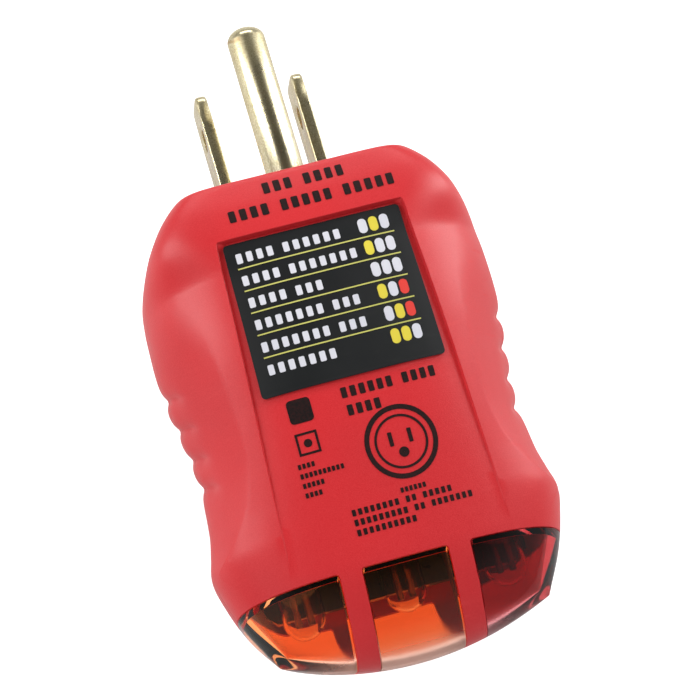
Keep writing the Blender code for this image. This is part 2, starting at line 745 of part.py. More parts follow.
def make_screws(mat):
    """Self-tapping screws, put in from the back."""
    head = HEAD_SEAT - 0.1
    profile = [
        (0.0, head - 1.7), (SCREW_HEAD - 0.6, head - 1.6), (SCREW_HEAD, head - 1.0), (SCREW_HEAD, head),
        (SCREW_SHANK, head), (SCREW_SHANK, SCREW_TOP - 1.2), (0.0, SCREW_TOP),
    ]
    for number, (x, y) in enumerate(SCREW_PLACES, 1):
        screw = turned(f"screw_{number}", profile, (x, y, 0), mat=mat, steps=16)
        for arm, (reach_x, reach_y) in enumerate(((1.2, 0.25), (0.25, 1.2))):
            cross = box(
                f"cross_{number}_{arm}",
                (x - reach_x, y - reach_y, head - 3.0),
                (x + reach_x, y + reach_y, head - 0.8),
            )
            combine(screw, cross, "DIFFERENCE")


def main():
    clear_scene()
    helpers = {
        "red": material("red_shell", RED, 0.5),
        "black": material("black_plastic", BLACK, 0.5),
        "white": material("white_plastic", (0.8, 0.8, 0.78), 0.5),
        "amber": material("amber_lens", AMBER, 0.1, alpha=0.5),
        "deep_red": material("red_lens", DEEP_RED, 0.1, alpha=0.5),
        "clear": material("lamp_glass", (0.9, 0.85, 0.8), 0.05, alpha=0.4),
        "brass": material("plated_brass", BRASS, 0.25, 1.0),
        "steel": material("steel", STEEL, 0.3, 1.0),
        "green": material("green_board", GREEN, 0.45),
        "tan": material("tan_ceramic", TAN, 0.6),
    }
    helpers["windows"] = [
        window_prism("left_window", -40, -RIB_OUTER),
        window_prism("centre_window", -RIB_INNER, RIB_INNER),
        window_prism("right_window", RIB_OUTER, 40),
    ]
    helpers["face_slots"], helpers["face_hole"] = prong_cutters("face", 0.3, END_WALL + 1.0)
    make_shells(helpers)
    make_lenses(helpers)
    make_label(helpers["black"])
    make_blade("hot_blade", -1, helpers["brass"])
    make_blade("neutral_blade", 1, helpers["brass"])
    make_pin(helpers["brass"])
    make_carrier(helpers["black"])
    make_board(helpers["green"])
    make_lamps(helpers["clear"])
    make_shroud(helpers["black"])
    make_electrics(helpers)
    make_button(helpers)
    make_screws(helpers["steel"])


main()
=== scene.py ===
import math
import bpy
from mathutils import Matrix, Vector


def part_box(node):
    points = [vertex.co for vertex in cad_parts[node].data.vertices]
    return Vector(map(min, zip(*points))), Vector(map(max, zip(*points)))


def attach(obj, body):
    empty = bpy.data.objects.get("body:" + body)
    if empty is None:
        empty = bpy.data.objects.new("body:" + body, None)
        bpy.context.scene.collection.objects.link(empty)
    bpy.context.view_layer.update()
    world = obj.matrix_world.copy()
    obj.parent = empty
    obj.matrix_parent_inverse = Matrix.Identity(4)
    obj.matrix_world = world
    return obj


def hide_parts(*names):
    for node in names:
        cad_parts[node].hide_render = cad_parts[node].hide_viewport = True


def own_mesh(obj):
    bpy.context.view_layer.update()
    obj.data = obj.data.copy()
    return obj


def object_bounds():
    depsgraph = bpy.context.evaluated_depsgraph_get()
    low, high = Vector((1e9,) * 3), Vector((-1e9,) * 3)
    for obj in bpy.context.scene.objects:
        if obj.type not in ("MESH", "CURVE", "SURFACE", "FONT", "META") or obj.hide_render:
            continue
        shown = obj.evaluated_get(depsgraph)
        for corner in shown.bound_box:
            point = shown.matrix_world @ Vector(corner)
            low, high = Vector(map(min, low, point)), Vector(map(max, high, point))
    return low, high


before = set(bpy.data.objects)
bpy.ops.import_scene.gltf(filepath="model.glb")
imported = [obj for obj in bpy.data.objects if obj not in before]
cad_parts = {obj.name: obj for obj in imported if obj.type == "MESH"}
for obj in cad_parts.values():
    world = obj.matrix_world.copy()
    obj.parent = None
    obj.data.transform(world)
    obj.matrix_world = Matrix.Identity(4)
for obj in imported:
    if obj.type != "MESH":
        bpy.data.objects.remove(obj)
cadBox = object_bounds()
mm = 0.001  # sizes below are in millimetres; the plug face is y = 0, the prongs point along +Y

# ---- camera ----

view = {"place": (-0.05325, -0.10929, 0.34622), "turn": (16.37, -4.80, -16.28), "lens": 147.7}

bpy.ops.object.select_all(action="DESELECT")
bpy.ops.object.camera_add(location=view["place"], rotation=[math.radians(a) for a in view["turn"]])
camera = bpy.context.active_object
camera.name = "camera"
camera.data.lens = view["lens"]
camera.data.sensor_width = 36.0
camera.data.clip_start = 0.01
bpy.context.scene.camera = camera
bpy.context.scene.view_settings.view_transform = "Standard"
print("camera placed")


# ---- small helpers ----

def clearPick():
    if bpy.context.mode != "OBJECT":
        bpy.ops.object.mode_set(mode="OBJECT")
    bpy.ops.object.select_all(action="DESELECT")


def pick(*pieces):
    clearPick()
    for piece in pieces:
        piece.select_set(True)
    bpy.context.view_layer.objects.active = pieces[0]


def added(name):
    piece = bpy.context.active_object
    piece.name = name
    piece.data.name = name
    return piece


def freeze(piece):  # its place goes into its mesh
    pick(piece)
    bpy.ops.object.transform_apply(location=True, rotation=True, scale=True)
    return piece


def copyOf(piece, name):
    twin = piece.copy()
    twin.data = piece.data.copy()
    twin.name = name
    bpy.context.scene.collection.objects.link(twin)
    return twin


def joinAll(pieces, name):
    pick(*pieces)
    if len(pieces) > 1:
        bpy.ops.object.join()
    return added(name)


def applyModifier(piece, kind, **settings):
    change = piece.modifiers.new(kind.lower(), kind)
    for key, value in settings.items():
        setattr(change, key, value)
    pick(piece)
    bpy.ops.object.modifier_apply(modifier=change.name)
    return piece


def combine(piece, cutters, operation):
    cutter = joinAll(cutters, "cutter") if isinstance(cutters, list) else cutters
    applyModifier(piece, "BOOLEAN", operation=operation, solver="EXACT", object=cutter)
    bpy.data.objects.remove(cutter, do_unlink=True)
    return piece


def outward(piece, merge=0.002):
    pick(piece)
    bpy.ops.object.mode_set(mode="EDIT")
    bpy.ops.mesh.select_all(action="SELECT")
    bpy.ops.mesh.remove_doubles(threshold=merge * mm)
    bpy.ops.mesh.normals_make_consistent(inside=False)
    bpy.ops.object.mode_set(mode="OBJECT")
    return piece


def selectEdges(piece, test):
    pick(piece)
    bpy.ops.object.mode_set(mode="EDIT")
    bpy.ops.mesh.select_mode(type="EDGE")
    bpy.ops.mesh.select_all(action="DESELECT")
    bpy.ops.object.mode_set(mode="OBJECT")
    corners = piece.data.vertices
    for edge in piece.data.edges:
        a, b = (corners[i].co / mm for i in edge.vertices)
        edge.select = test(a, b)
    bpy.ops.object.mode_set(mode="EDIT")


def roundEdges(piece, test, width, segments):
    selectEdges(piece, test)
    bpy.ops.mesh.bevel(offset=width * mm, segments=segments, affect="EDGES")
    bpy.ops.object.mode_set(mode="OBJECT")


def finished(piece, material, body="casing", replaces=(), smooth=35):
    freeze(piece)
    if material:
        piece.data.materials.clear()
        piece.data.materials.append(material)
    pick(piece)
    bpy.ops.object.shade_smooth_by_angle(angle=math.radians(smooth))
    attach(piece, body)
    if replaces:
        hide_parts(*replaces)
    return piece


def block(name, low, high):
    clearPick()
    middle = (Vector(low) + Vector(high)) / 2 * mm
    bpy.ops.mesh.primitive_cube_add(size=1, location=middle)
    piece = added(name)
    piece.scale = (Vector(high) - Vector(low)) * mm
    return freeze(piece)


layAlong = {"X": (0, math.pi / 2, 0), "Y": (-math.pi / 2, 0, 0), "Z": (0, 0, 0)}


def turned(name, profile, centre, axis="Z", steps=64):
    # the first ring of the profile, extruded ring by ring, then laid along its axis
    clearPick()
    radius, height = profile[0]
    bpy.ops.mesh.primitive_circle_add(vertices=steps, radius=radius * mm, fill_type="NGON")
    piece = added(name)
    for vertex in piece.data.vertices:
        vertex.co.z = height * mm
    bpy.ops.object.mode_set(mode="EDIT")
    bpy.ops.mesh.select_all(action="SELECT")
    for nextRadius, nextHeight in profile[1:]:
        rise = {"value": (0, 0, (nextHeight - height) * mm)}
        bpy.ops.mesh.extrude_region_move(TRANSFORM_OT_translate=rise)
        share = nextRadius / radius
        middle = (0, 0, nextHeight * mm)
        bpy.ops.transform.resize(value=(share, share, 1), center_override=middle)
        radius, height = nextRadius, nextHeight
    bpy.ops.object.mode_set(mode="OBJECT")
    piece.rotation_euler = layAlong[axis]
    piece.location = Vector(centre) * mm
    freeze(piece)
    return outward(piece, 0.0005)


def rod(name, radius, low, high, centre, axis="Z", steps=40):
    return turned(name, [(radius, low), (radius, high)], centre, axis, steps)


def wire(name, route, radius, sides=3, smooth=True):
    clearPick()
    bpy.ops.curve.primitive_bezier_curve_add()
    piece = added(name)
    curve = piece.data
    curve.splines.clear()
    spline = curve.splines.new("NURBS" if smooth else "POLY")
    spline.points.add(len(route) - 1)
    for point, place in zip(spline.points, route):
        point.co = (*(Vector(place) * mm), 1)
    if smooth:
        spline.order_u = 4
        spline.use_endpoint_u = True
        spline.resolution_u = 8
    curve.dimensions = "3D"
    curve.bevel_depth = radius * mm
    curve.bevel_resolution = sides
    curve.use_fill_caps = True
    pick(piece)
    bpy.ops.object.convert(target="MESH")
    return outward(added(name), 0.0005)


# ---- finishes ----

def newGroup(name, inputs, outputs):
    group = bpy.data.node_groups.new(name, "ShaderNodeTree")
    for label, value in inputs.items():
        socket = group.interface.new_socket(label, in_out="INPUT", socket_type="NodeSocketFloat")
        socket.default_value = value
    for label, kind in outputs.items():
        group.interface.new_socket(label, in_out="OUTPUT", socket_type=kind)
    return group, group.nodes.new("NodeGroupInput"), group.nodes.new("NodeGroupOutput")


def treeOf(tree):
    return tree, tree.nodes, tree.links


def noiseNode(tree, vector, scale, detail=3.0):
    node = tree.nodes.new("ShaderNodeTexNoise")
    node.inputs["Detail"].default_value = detail
    if isinstance(scale, (int, float)):
        node.inputs["Scale"].default_value = scale
    else:
        tree.links.new(scale, node.inputs["Scale"])
    tree.links.new(vector, node.inputs["Vector"])
    return node.outputs["Fac"]


def rangeNode(tree, value, low, high, newLow, newHigh):
    node = tree.nodes.new("ShaderNodeMapRange")
    for key, number in zip(("From Min", "From Max", "To Min", "To Max"), (low, high, newLow, newHigh)):
        node.inputs[key].default_value = number
    tree.links.new(value, node.inputs["Value"])
    return node.outputs["Result"]


def mathNode(tree, operation, first, second):
    node = tree.nodes.new("ShaderNodeMath")
    node.operation = operation
    for socket, value in zip(node.inputs, (first, second)):
        if isinstance(value, (int, float)):
            socket.default_value = value
        else:
            tree.links.new(value, socket)
    return node.outputs[0]


def makeGrain():
    # fine moulded or cast texture: a height, and a slow patchy tone
    group, inward, outwardNode = newGroup(
        "surfaceGrain", {"Fine": 5200.0, "Coarse": 60.0},
        {"Height": "NodeSocketFloat", "Tone": "NodeSocketFloat", "Speck": "NodeSocketFloat"})
    tree, nodes, links = treeOf(group)
    place = nodes.new("ShaderNodeTexCoord").outputs["Object"]
    fine = noiseNode(tree, place, inward.outputs["Fine"], 2.0)
    coarse = noiseNode(tree, place, inward.outputs["Coarse"], 4.0)
    cells = nodes.new("ShaderNodeTexVoronoi")
    links.new(place, cells.inputs["Vector"])
    links.new(inward.outputs["Fine"], cells.inputs["Scale"])
    pits = mathNode(tree, "MULTIPLY", cells.outputs["Distance"], 0.6)
    height = mathNode(tree, "ADD", fine, pits)
    links.new(height, outwardNode.inputs["Height"])
    links.new(coarse, outwardNode.inputs["Tone"])
    links.new(rangeNode(tree, fine, 0.35, 0.68, 0.0, 1.0), outwardNode.inputs["Speck"])
    return group


def makeScuff():
    # short rubbed lines and smudges, as a mask
    group, inward, outwardNode = newGroup("handlingWear", {"Size": 260.0}, {"Mask": "NodeSocketFloat"})
    tree, nodes, links = treeOf(group)
    place = nodes.new("ShaderNodeTexCoord").outputs["Object"]
    stretch = nodes.new("ShaderNodeMapping")
    stretch.inputs["Rotation"].default_value = (0.3, 0.2, 0.9)
    stretch.inputs["Scale"].default_value = (1.0, 5.0, 1.0)
    links.new(place, stretch.inputs["Vector"])
    lines = noiseNode(tree, stretch.outputs["Vector"], inward.outputs["Size"], 6.0)
    patches = noiseNode(tree, place, 45.0, 2.0)
    sharp = rangeNode(tree, lines, 0.60, 0.72, 0.0, 1.0)
    wide = rangeNode(tree, patches, 0.48, 0.65, 0.0, 1.0)
    links.new(mathNode(tree, "MULTIPLY", sharp, wide), outwardNode.inputs["Mask"])
    return group


grainGroup = makeGrain()
scuffGroup = makeScuff()


def mixColour(tree, share, first, second):
    node = tree.nodes.new("ShaderNodeMix")
    node.data_type = "RGBA"
    tree.links.new(share, node.inputs["Factor"])
    for socket, value in ((node.inputs["A"], first), (node.inputs["B"], second)):
        if isinstance(value, tuple):
            socket.default_value = (*value, 1.0)
        else:
            tree.links.new(value, socket)
    return node.outputs["Result"]


def plainFinish(name, look):
    # colour that drifts between two tones, roughness and bump from the grain, worn smudges
    material = bpy.data.materials.new(name)
    material.use_nodes = True
    tree, nodes, links = treeOf(material.node_tree)
    shader = nodes["Principled BSDF"]
    grain = nodes.new("ShaderNodeGroup")
    grain.node_tree = grainGroup
    grain.inputs["Fine"].default_value = look.get("fine", 5200.0)
    grain.inputs["Coarse"].default_value = look.get("coarse", 60.0)
    wear = nodes.new("ShaderNodeGroup")
    wear.node_tree = scuffGroup
    tone = rangeNode(tree, grain.outputs["Tone"], 0.35, 0.65, 0.0, 1.0)
    colour = mixColour(tree, tone, look["colour"], look["second"])
    if "speck" in look:
        speck = rangeNode(tree, grain.outputs["Speck"], 0.0, 1.0, 0.0, look["speckShare"])
        colour = mixColour(tree, speck, colour, look["speck"])
    if "worn" in look:
        worn = rangeNode(tree, wear.outputs["Mask"], 0.0, 1.0, 0.0, look.get("wornShare", 0.25))
        colour = mixColour(tree, worn, colour, look["worn"])
    links.new(colour, shader.inputs["Base Color"])
    low, high = look.get("rough", (0.45, 0.55))
    rough = rangeNode(tree, grain.outputs["Tone"], 0.3, 0.7, low, high)
    rubbed = mathNode(tree, "MULTIPLY", wear.outputs["Mask"], 0.12)
    rough = mathNode(tree, "ADD", rough, rubbed)
    links.new(rough, shader.inputs["Roughness"])
    bump = nodes.new("ShaderNodeBump")
    bump.inputs["Strength"].default_value = look.get("bump", 0.1)
    bump.inputs["Distance"].default_value = look.get("depth", 0.03) * mm
    links.new(grain.outputs["Height"], bump.inputs["Height"])
    if look.get("soft"):
        soften = nodes.new("ShaderNodeBevel")
        soften.samples = 4
        soften.inputs["Radius"].default_value = look["soft"] * mm
        links.new(soften.outputs["Normal"], bump.inputs["Normal"])
    links.new(bump.outputs["Normal"], shader.inputs["Normal"])
    shader.inputs["Metallic"].default_value = look.get("metal", 0.0)
    shader.inputs["IOR"].default_value = look.get("ior", 1.5)
    shader.inputs["Specular IOR Level"].default_value = look.get("specular", 0.5)
    if "coat" in look:
        shader.inputs["Coat Weight"].default_value = look["coat"]
        shader.inputs["Coat Roughness"].default_value = 0.08
    return material


def clearFinish(name, look):
    # tinted clear plastic: polished, with faint flow marks; lamps reach what is behind it
    material = bpy.data.materials.new(name)
    material.use_nodes = True
    tree, nodes, links = treeOf(material.node_tree)
    shader = nodes["Principled BSDF"]
    shader.inputs["Transmission Weight"].default_value = 1.0
    shader.inputs["IOR"].default_value = look["ior"]
    place = nodes.new("ShaderNodeTexCoord").outputs["Object"]
    flow = noiseNode(tree, place, 90.0, 2.0)
    share = rangeNode(tree, flow, 0.3, 0.7, 0.0, 1.0)
    colour = mixColour(tree, share, look["colour"], look["second"])
    low, high = look["rough"]
    rough = rangeNode(tree, flow, 0.3, 0.7, low, high)
    if "paintedEdgeHighlight" in look:  # the outer end gets a pale painted highlight, where the thick clear edge catches light, and more roughness
        spot = nodes.new("ShaderNodeSeparateXYZ")
        links.new(place, spot.inputs["Vector"])
        paintedEdgeHighlight = rangeNode(tree, spot.outputs["Y"], -0.0565, -0.0600, 0.0, 1.0)
        colour = mixColour(tree, paintedEdgeHighlight, colour, look["paintedEdgeHighlight"])
        rough = mathNode(tree, "ADD", rough, mathNode(tree, "MULTIPLY", paintedEdgeHighlight, 0.35))
    links.new(colour, shader.inputs["Base Color"])
    links.new(rough, shader.inputs["Roughness"])
    bump = nodes.new("ShaderNodeBump")
    bump.inputs["Strength"].default_value = look["bump"]
    bump.inputs["Distance"].default_value = 0.05 * mm
    links.new(flow, bump.inputs["Height"])
    links.new(bump.outputs["Normal"], shader.inputs["Normal"])
    through = nodes.new("ShaderNodeBsdfTransparent")
    through.inputs["Color"].default_value = (*look["colour"], 1.0)
    path = nodes.new("ShaderNodeLightPath")
    mix = nodes.new("ShaderNodeMixShader")
    links.new(path.outputs["Is Shadow Ray"], mix.inputs["Fac"])
    links.new(shader.outputs["BSDF"], mix.inputs[1])
    links.new(through.outputs["BSDF"], mix.inputs[2])
    links.new(mix.outputs["Shader"], nodes["Material Output"].inputs["Surface"])
    return material


looks = {  # two tones, then fine specks, rubbed places, roughness range, bump, metal and soft edges
    "redShell": {
        "colour": (0.64, 0.020, 0.026), "second": (0.58, 0.016, 0.022), "speck": (0.76, 0.06, 0.065),
        "speckShare": 0.3, "worn": (0.72, 0.06, 0.06), "rough": (0.33, 0.42), "bump": 0.5,
        "depth": 0.03, "fine": 7200.0, "soft": 0.12},
    "legendPlate": {
        "colour": (0.010, 0.011, 0.012), "second": (0.015, 0.016, 0.017), "worn": (0.03, 0.03, 0.03),
        "rough": (0.40, 0.50), "specular": 0.3, "bump": 0.12, "fine": 7000.0, "soft": 0.05},
    "whiteInk": {"colour": (0.70, 0.70, 0.76), "second": (0.63, 0.63, 0.70)},
    "yellowInk": {"colour": (0.78, 0.66, 0.06), "second": (0.70, 0.58, 0.05)},
    "ruleInk": {"colour": (0.62, 0.60, 0.16), "second": (0.54, 0.52, 0.12)},
    "redInk": {"colour": (0.80, 0.05, 0.03), "second": (0.70, 0.04, 0.03)},
    "blackInk": {
        "colour": (0.007, 0.005, 0.005), "second": (0.014, 0.008, 0.008), "speck": (0.06, 0.01, 0.01),
        "speckShare": 0.3, "specular": 0.2, "rough": (0.55, 0.65), "bump": 0.15, "fine": 3800.0},
    "plating": {
        "colour": (0.86, 0.80, 0.60), "second": (0.76, 0.68, 0.44), "speck": (0.42, 0.33, 0.13),
        "speckShare": 0.65, "worn": (0.42, 0.26, 0.12), "wornShare": 0.7, "rough": (0.22, 0.34),
        "metal": 1.0, "bump": 0.14, "depth": 0.02, "fine": 5600.0, "coarse": 130.0, "soft": 0.06},
    "contactBrass": {
        "colour": (0.80, 0.58, 0.26), "second": (0.66, 0.45, 0.18), "worn": (0.4, 0.28, 0.12),
        "rough": (0.22, 0.34), "metal": 1.0, "soft": 0.03},
    "screwZinc": {
        "colour": (0.62, 0.62, 0.60), "second": (0.52, 0.52, 0.50), "worn": (0.30, 0.29, 0.27),
        "wornShare": 0.6, "rough": (0.22, 0.36), "metal": 1.0, "bump": 0.15, "soft": 0.05},
    "springSteel": {
        "colour": (0.55, 0.55, 0.56), "second": (0.42, 0.42, 0.43), "rough": (0.2, 0.32), "metal": 1.0},
    "electrode": {
        "colour": (0.16, 0.15, 0.14), "second": (0.09, 0.08, 0.08), "rough": (0.3, 0.4), "metal": 1.0,
        "bump": 0.15},
    "blackPlastic": {
        "colour": (0.035, 0.030, 0.030), "second": (0.050, 0.042, 0.042), "worn": (0.06, 0.06, 0.06),
        "rough": (0.42, 0.56), "bump": 0.25, "soft": 0.08},
    "buttonBlack": {
        "colour": (0.016, 0.016, 0.017), "second": (0.022, 0.022, 0.024), "worn": (0.07, 0.07, 0.07),
        "rough": (0.28, 0.38), "bump": 0.12, "coat": 0.2, "soft": 0.05},
    "boardGreen": {
        "colour": (0.012, 0.085, 0.035), "second": (0.018, 0.12, 0.05), "speck": (0.03, 0.16, 0.07),
        "speckShare": 0.4, "rough": (0.25, 0.4), "bump": 0.2, "fine": 2200.0, "coarse": 300.0,
        "coat": 0.3},
    "wireBlack": {"colour": (0.016, 0.016, 0.016), "second": (0.024, 0.024, 0.024), "rough": (0.4, 0.5)},
    "wireWhite": {"colour": (0.74, 0.73, 0.70), "second": (0.66, 0.65, 0.61), "rough": (0.4, 0.5)},
    "wireGreen": {"colour": (0.02, 0.20, 0.06), "second": (0.03, 0.26, 0.08), "rough": (0.4, 0.5)},
}
clearLooks = {
    # the pale end colour of each lens is a painted highlight on its thick outer edge
    "amberLens": {
        "colour": (0.93, 0.30, 0.09), "second": (0.90, 0.27, 0.08), "paintedEdgeHighlight": (0.97, 0.62, 0.50),
        "rough": (0.01, 0.035), "bump": 0.05, "ior": 1.5},
    "redLens": {
        "colour": (0.46, 0.022, 0.028), "second": (0.42, 0.020, 0.025), "paintedEdgeHighlight": (0.80, 0.34, 0.36),
        "rough": (0.01, 0.035), "bump": 0.05, "ior": 1.5},
    "lampGlass": {
        "colour": (0.96, 0.94, 0.92), "second": (0.90, 0.88, 0.86), "rough": (0.0, 0.04),
        "bump": 0.08, "ior": 1.48},
}
finish = {name: plainFinish(name, look) for name, look in looks.items()}
finish.update({name: clearFinish(name, look) for name, look in clearLooks.items()})


def bandedFinish(name, base, bands, axis, middle, step):
    # a coated resistor: coloured rings across its own length
    look = {"colour": base, "second": tuple(0.85 * c for c in base), "rough": (0.3, 0.42)}
    material = plainFinish(name, look)
    tree, nodes, links = treeOf(material.node_tree)
    place = nodes.new("ShaderNodeSeparateXYZ")
    links.new(nodes.new("ShaderNodeTexCoord").outputs["Object"], place.inputs["Vector"])
    shader = nodes["Principled BSDF"]
    colour = shader.inputs["Base Color"].links[0].from_socket
    for number, band in enumerate(bands):
        at = (middle + (number - (len(bands) - 1) / 2) * step) * mm
        off = mathNode(tree, "SUBTRACT", place.outputs[axis], at)
        off = mathNode(tree, "ABSOLUTE", off, 0)
        inBand = mathNode(tree, "LESS_THAN", off, step * 0.27 * mm)
        colour = mixColour(tree, inBand, colour, band)
    links.new(colour, shader.inputs["Base Color"])
    return material


print("finishes made")


# ---- the body's surface ----

body = {
    "length": 60.8, "parting": 6.5, "back": -8.5, "backBulge": 2.2, "backPower": 4.5, "frontPower": 3.6,
    "wall": 1.6, "frontWall": 2.1, "endWall": 2.2, "edgeRound": 0.5, "endBow": 3.6, "bowStart": -44.0,
    "seam": 0.16, "squareEnd": 12.0, "scoopFade": (13.0, 24.0), "scoopEnd": -45.4, "scoopSlope": 0.60,
    "outline": [(0.0, 14.6), (-1.2, 16.1), (-3.0, 17.8), (-6.0, 19.8), (-10.0, 21.3), (-16.0, 21.8),
                (-22.0, 21.75), (-28.0, 20.95), (-34.0, 20.45), (-39.0, 20.75), (-42.0, 21.4),
                (-44.4, 21.95), (-47.0, 21.5), (-52.0, 19.8), (-57.2, 17.0)],
    "crown": [(0.0, 18.1), (-4.0, 18.85), (-10.0, 19.35), (-18.0, 19.4), (-26.0, 18.85),
              (-34.0, 17.9), (-42.0, 16.45), (-49.4, 14.9), (-55.0, 13.4), (-60.8, 11.8)],
    "scoopEdge": [(0.0, 12.9), (-6.0, 15.6), (-14.0, 16.2), (-20.0, 15.5), (-26.0, 15.0), (-33.0, 14.9),
                  (-36.5, 15.5), (-39.0, 16.5), (-41.5, 18.2), (-43.4, 20.0), (-45.0, 21.3),
                  (-48.0, 19.4), (-57.2, 15.6)],
}
panel = {
    "half": [(0.0, 11.5), (-8.0, 11.8), (-25.0, 12.6), (-49.4, 13.8), (-57.2, 14.4)],
    "top": -7.4, "fade": -49.0, "depth": 0.95, "corner": 0.9, "slope": 0.22,
}
grip = {"at": (-21.8, -25.8, -29.8, -33.6), "depth": 0.95, "width": 0.85, "crease": 0.2, "slant": 0.25,
        "front": 5.5, "back": 13.0, "start": -19.0, "end": -36.0}


def easeStep(low, high, value):
    t = min(max((value - low) / (high - low), 0.0), 1.0)
    return t * t * (3.0 - 2.0 * t)


def along(knots, y):  # a smooth curve through the knots, which run down in y
    if y >= knots[0][0]:
        return knots[0][1]
    if y <= knots[-1][0]:
        return knots[-1][1]
    at = next(i for i in range(len(knots) - 1) if knots[i + 1][0] <= y)
    (y0, a), (y1, b) = knots[at], knots[at + 1]

    def slope(i):
        low, high = max(i - 1, 0), min(i + 1, len(knots) - 1)
        return (knots[high][1] - knots[low][1]) / (knots[high][0] - knots[low][0])

    step = y1 - y0
    t = (y - y0) / step
    rise = (2 * t**3 - 3 * t**2 + 1) * a + (3 * t**2 - 2 * t**3) * b
    return rise + step * ((t**3 - 2 * t**2 + t) * slope(at) + (t**3 - t**2) * slope(at + 1))


def endRound(y, start, power):
    t = min(max((start - y) / (start + body["length"]), 0.0), 1.0)
    return math.sqrt(max(1.0 - t**power, 0.0))


def bulge(share, y, power):  # rounded across the body, nearly square at the plug face
    square = 1.0 - easeStep(0.0, body["squareEnd"], -y)
    return max(1.0 - share ** (power + 6.0 * square), 0.0) ** (1.0 / (2.0 + 4.0 * square))


def frontSection(share, y, half):
    main = bulge(share, y, body["frontPower"])
    edge = along(body["scoopEdge"], y) / half
    if y < body["scoopEnd"] or share <= edge or edge >= 1.0:
        return main
    t = min((share - edge) / (1.0 - edge), 1.0)
    slope = body["scoopSlope"]
    fall = slope * t + (1.0 - slope) * (1.0 - math.sqrt(max(1.0 - t * t, 0.0)))
    scooped = bulge(edge, y, body["frontPower"]) * (1.0 - fall)
    return main + (scooped - main) * easeStep(*body["scoopFade"], -y)


def panelDepth(x, y):
    side = abs(x) - along(panel["half"], y)
    top = y - panel["top"]
    corner = panel["corner"]
    out = Vector((max(side + corner, 0.0), max(top + corner, 0.0))).length
    distance = out + min(max(side, top) + corner, 0.0) - corner
    fade = min(max((panel["top"] - y) / (panel["top"] - panel["fade"]), 0.0), 1.0)
    return panel["depth"] * (1.0 - fade**2) * easeStep(0.0, panel["slope"], -distance)


def grooveDepth(y, z):
    limit = grip["front"] if z > body["parting"] else grip["back"]
    reach = 1.0 - easeStep(0.4 * limit, limit, abs(z - body["parting"]))
    centre = y + grip["slant"] * (z - body["parting"])
    dips = sum(math.exp(-math.hypot(centre - at, grip["crease"]) / grip["width"]) for at in grip["at"])
    return grip["depth"] * reach * dips


def surfacePoint(x, row, half, inset, side):
    share = min(abs(x) / half, 1.0)
    parting, wall = body["parting"], body["wall"]
    if side > 0:
        extra = body["frontWall"] - wall if inset >= wall else 0.0
        rise = (along(body["crown"], row) - parting - inset - extra) * endRound(row, -48.0, 2.4)
        z = parting + rise * frontSection(share, row, half)
        if inset < wall:
            z -= panelDepth(x, row)
    else:
        taper = 1.6 * (1.0 - easeStep(0.0, 9.0, -row))
        depth = parting - body["back"] + body["backBulge"] - taper - inset
        z = parting - depth * endRound(row, -45.0, 2.2) * bulge(share, row, body["backPower"])
        z = max(z, body["back"] + inset)
    if inset < wall:
        x -= math.copysign(grooveDepth(row, z), x)
    toEnd = easeStep(-body["bowStart"], body["length"], -row)
    y = row + (body["endBow"] * (x / half) ** 2 + (inset if inset >= 0.8 else 0.0)) * toEnd
    return Vector((x, y, z))


def spread(start, end, count):
    return [start + (end - start) * step / count for step in range(1, count + 1)]


def lampEndRows(start, count):
    turn = [math.sin(step / count * math.pi / 2) for step in range(1, count + 1)]
    return [start - (start + body["length"]) * t for t in turn]


def columnPlaces(row, half, counts):
    full = along(body["outline"], row)
    edge = along(panel["half"], row)
    scoop = min(max(along(body["scoopEdge"], row), edge + 0.4), full - 0.3)
    knots = [0.0, edge - panel["slope"], edge, scoop, full]
    found = [0.0]
    for low, high, count in zip(knots, knots[1:], counts):
        for step in range(1, count + 1):
            t = step / count
            if high == full:
                t = math.sin(t * math.pi / 2)
            found.append(low + (high - low) * t)
    return [x * half / full for x in found]


def skinGrid(name, lines):
    # a flat grid, each of its points moved to its place on the surface
    across, down = len(lines[0]) - 1, len(lines) - 1
    clearPick()
    bpy.ops.mesh.primitive_grid_add(x_subdivisions=across, y_subdivisions=down, size=2)
    sheet = added(name)
    for index, vertex in enumerate(sheet.data.vertices):
        row, column = divmod(index, across + 1)
        vertex.co = lines[row][column] * mm
    return sheet


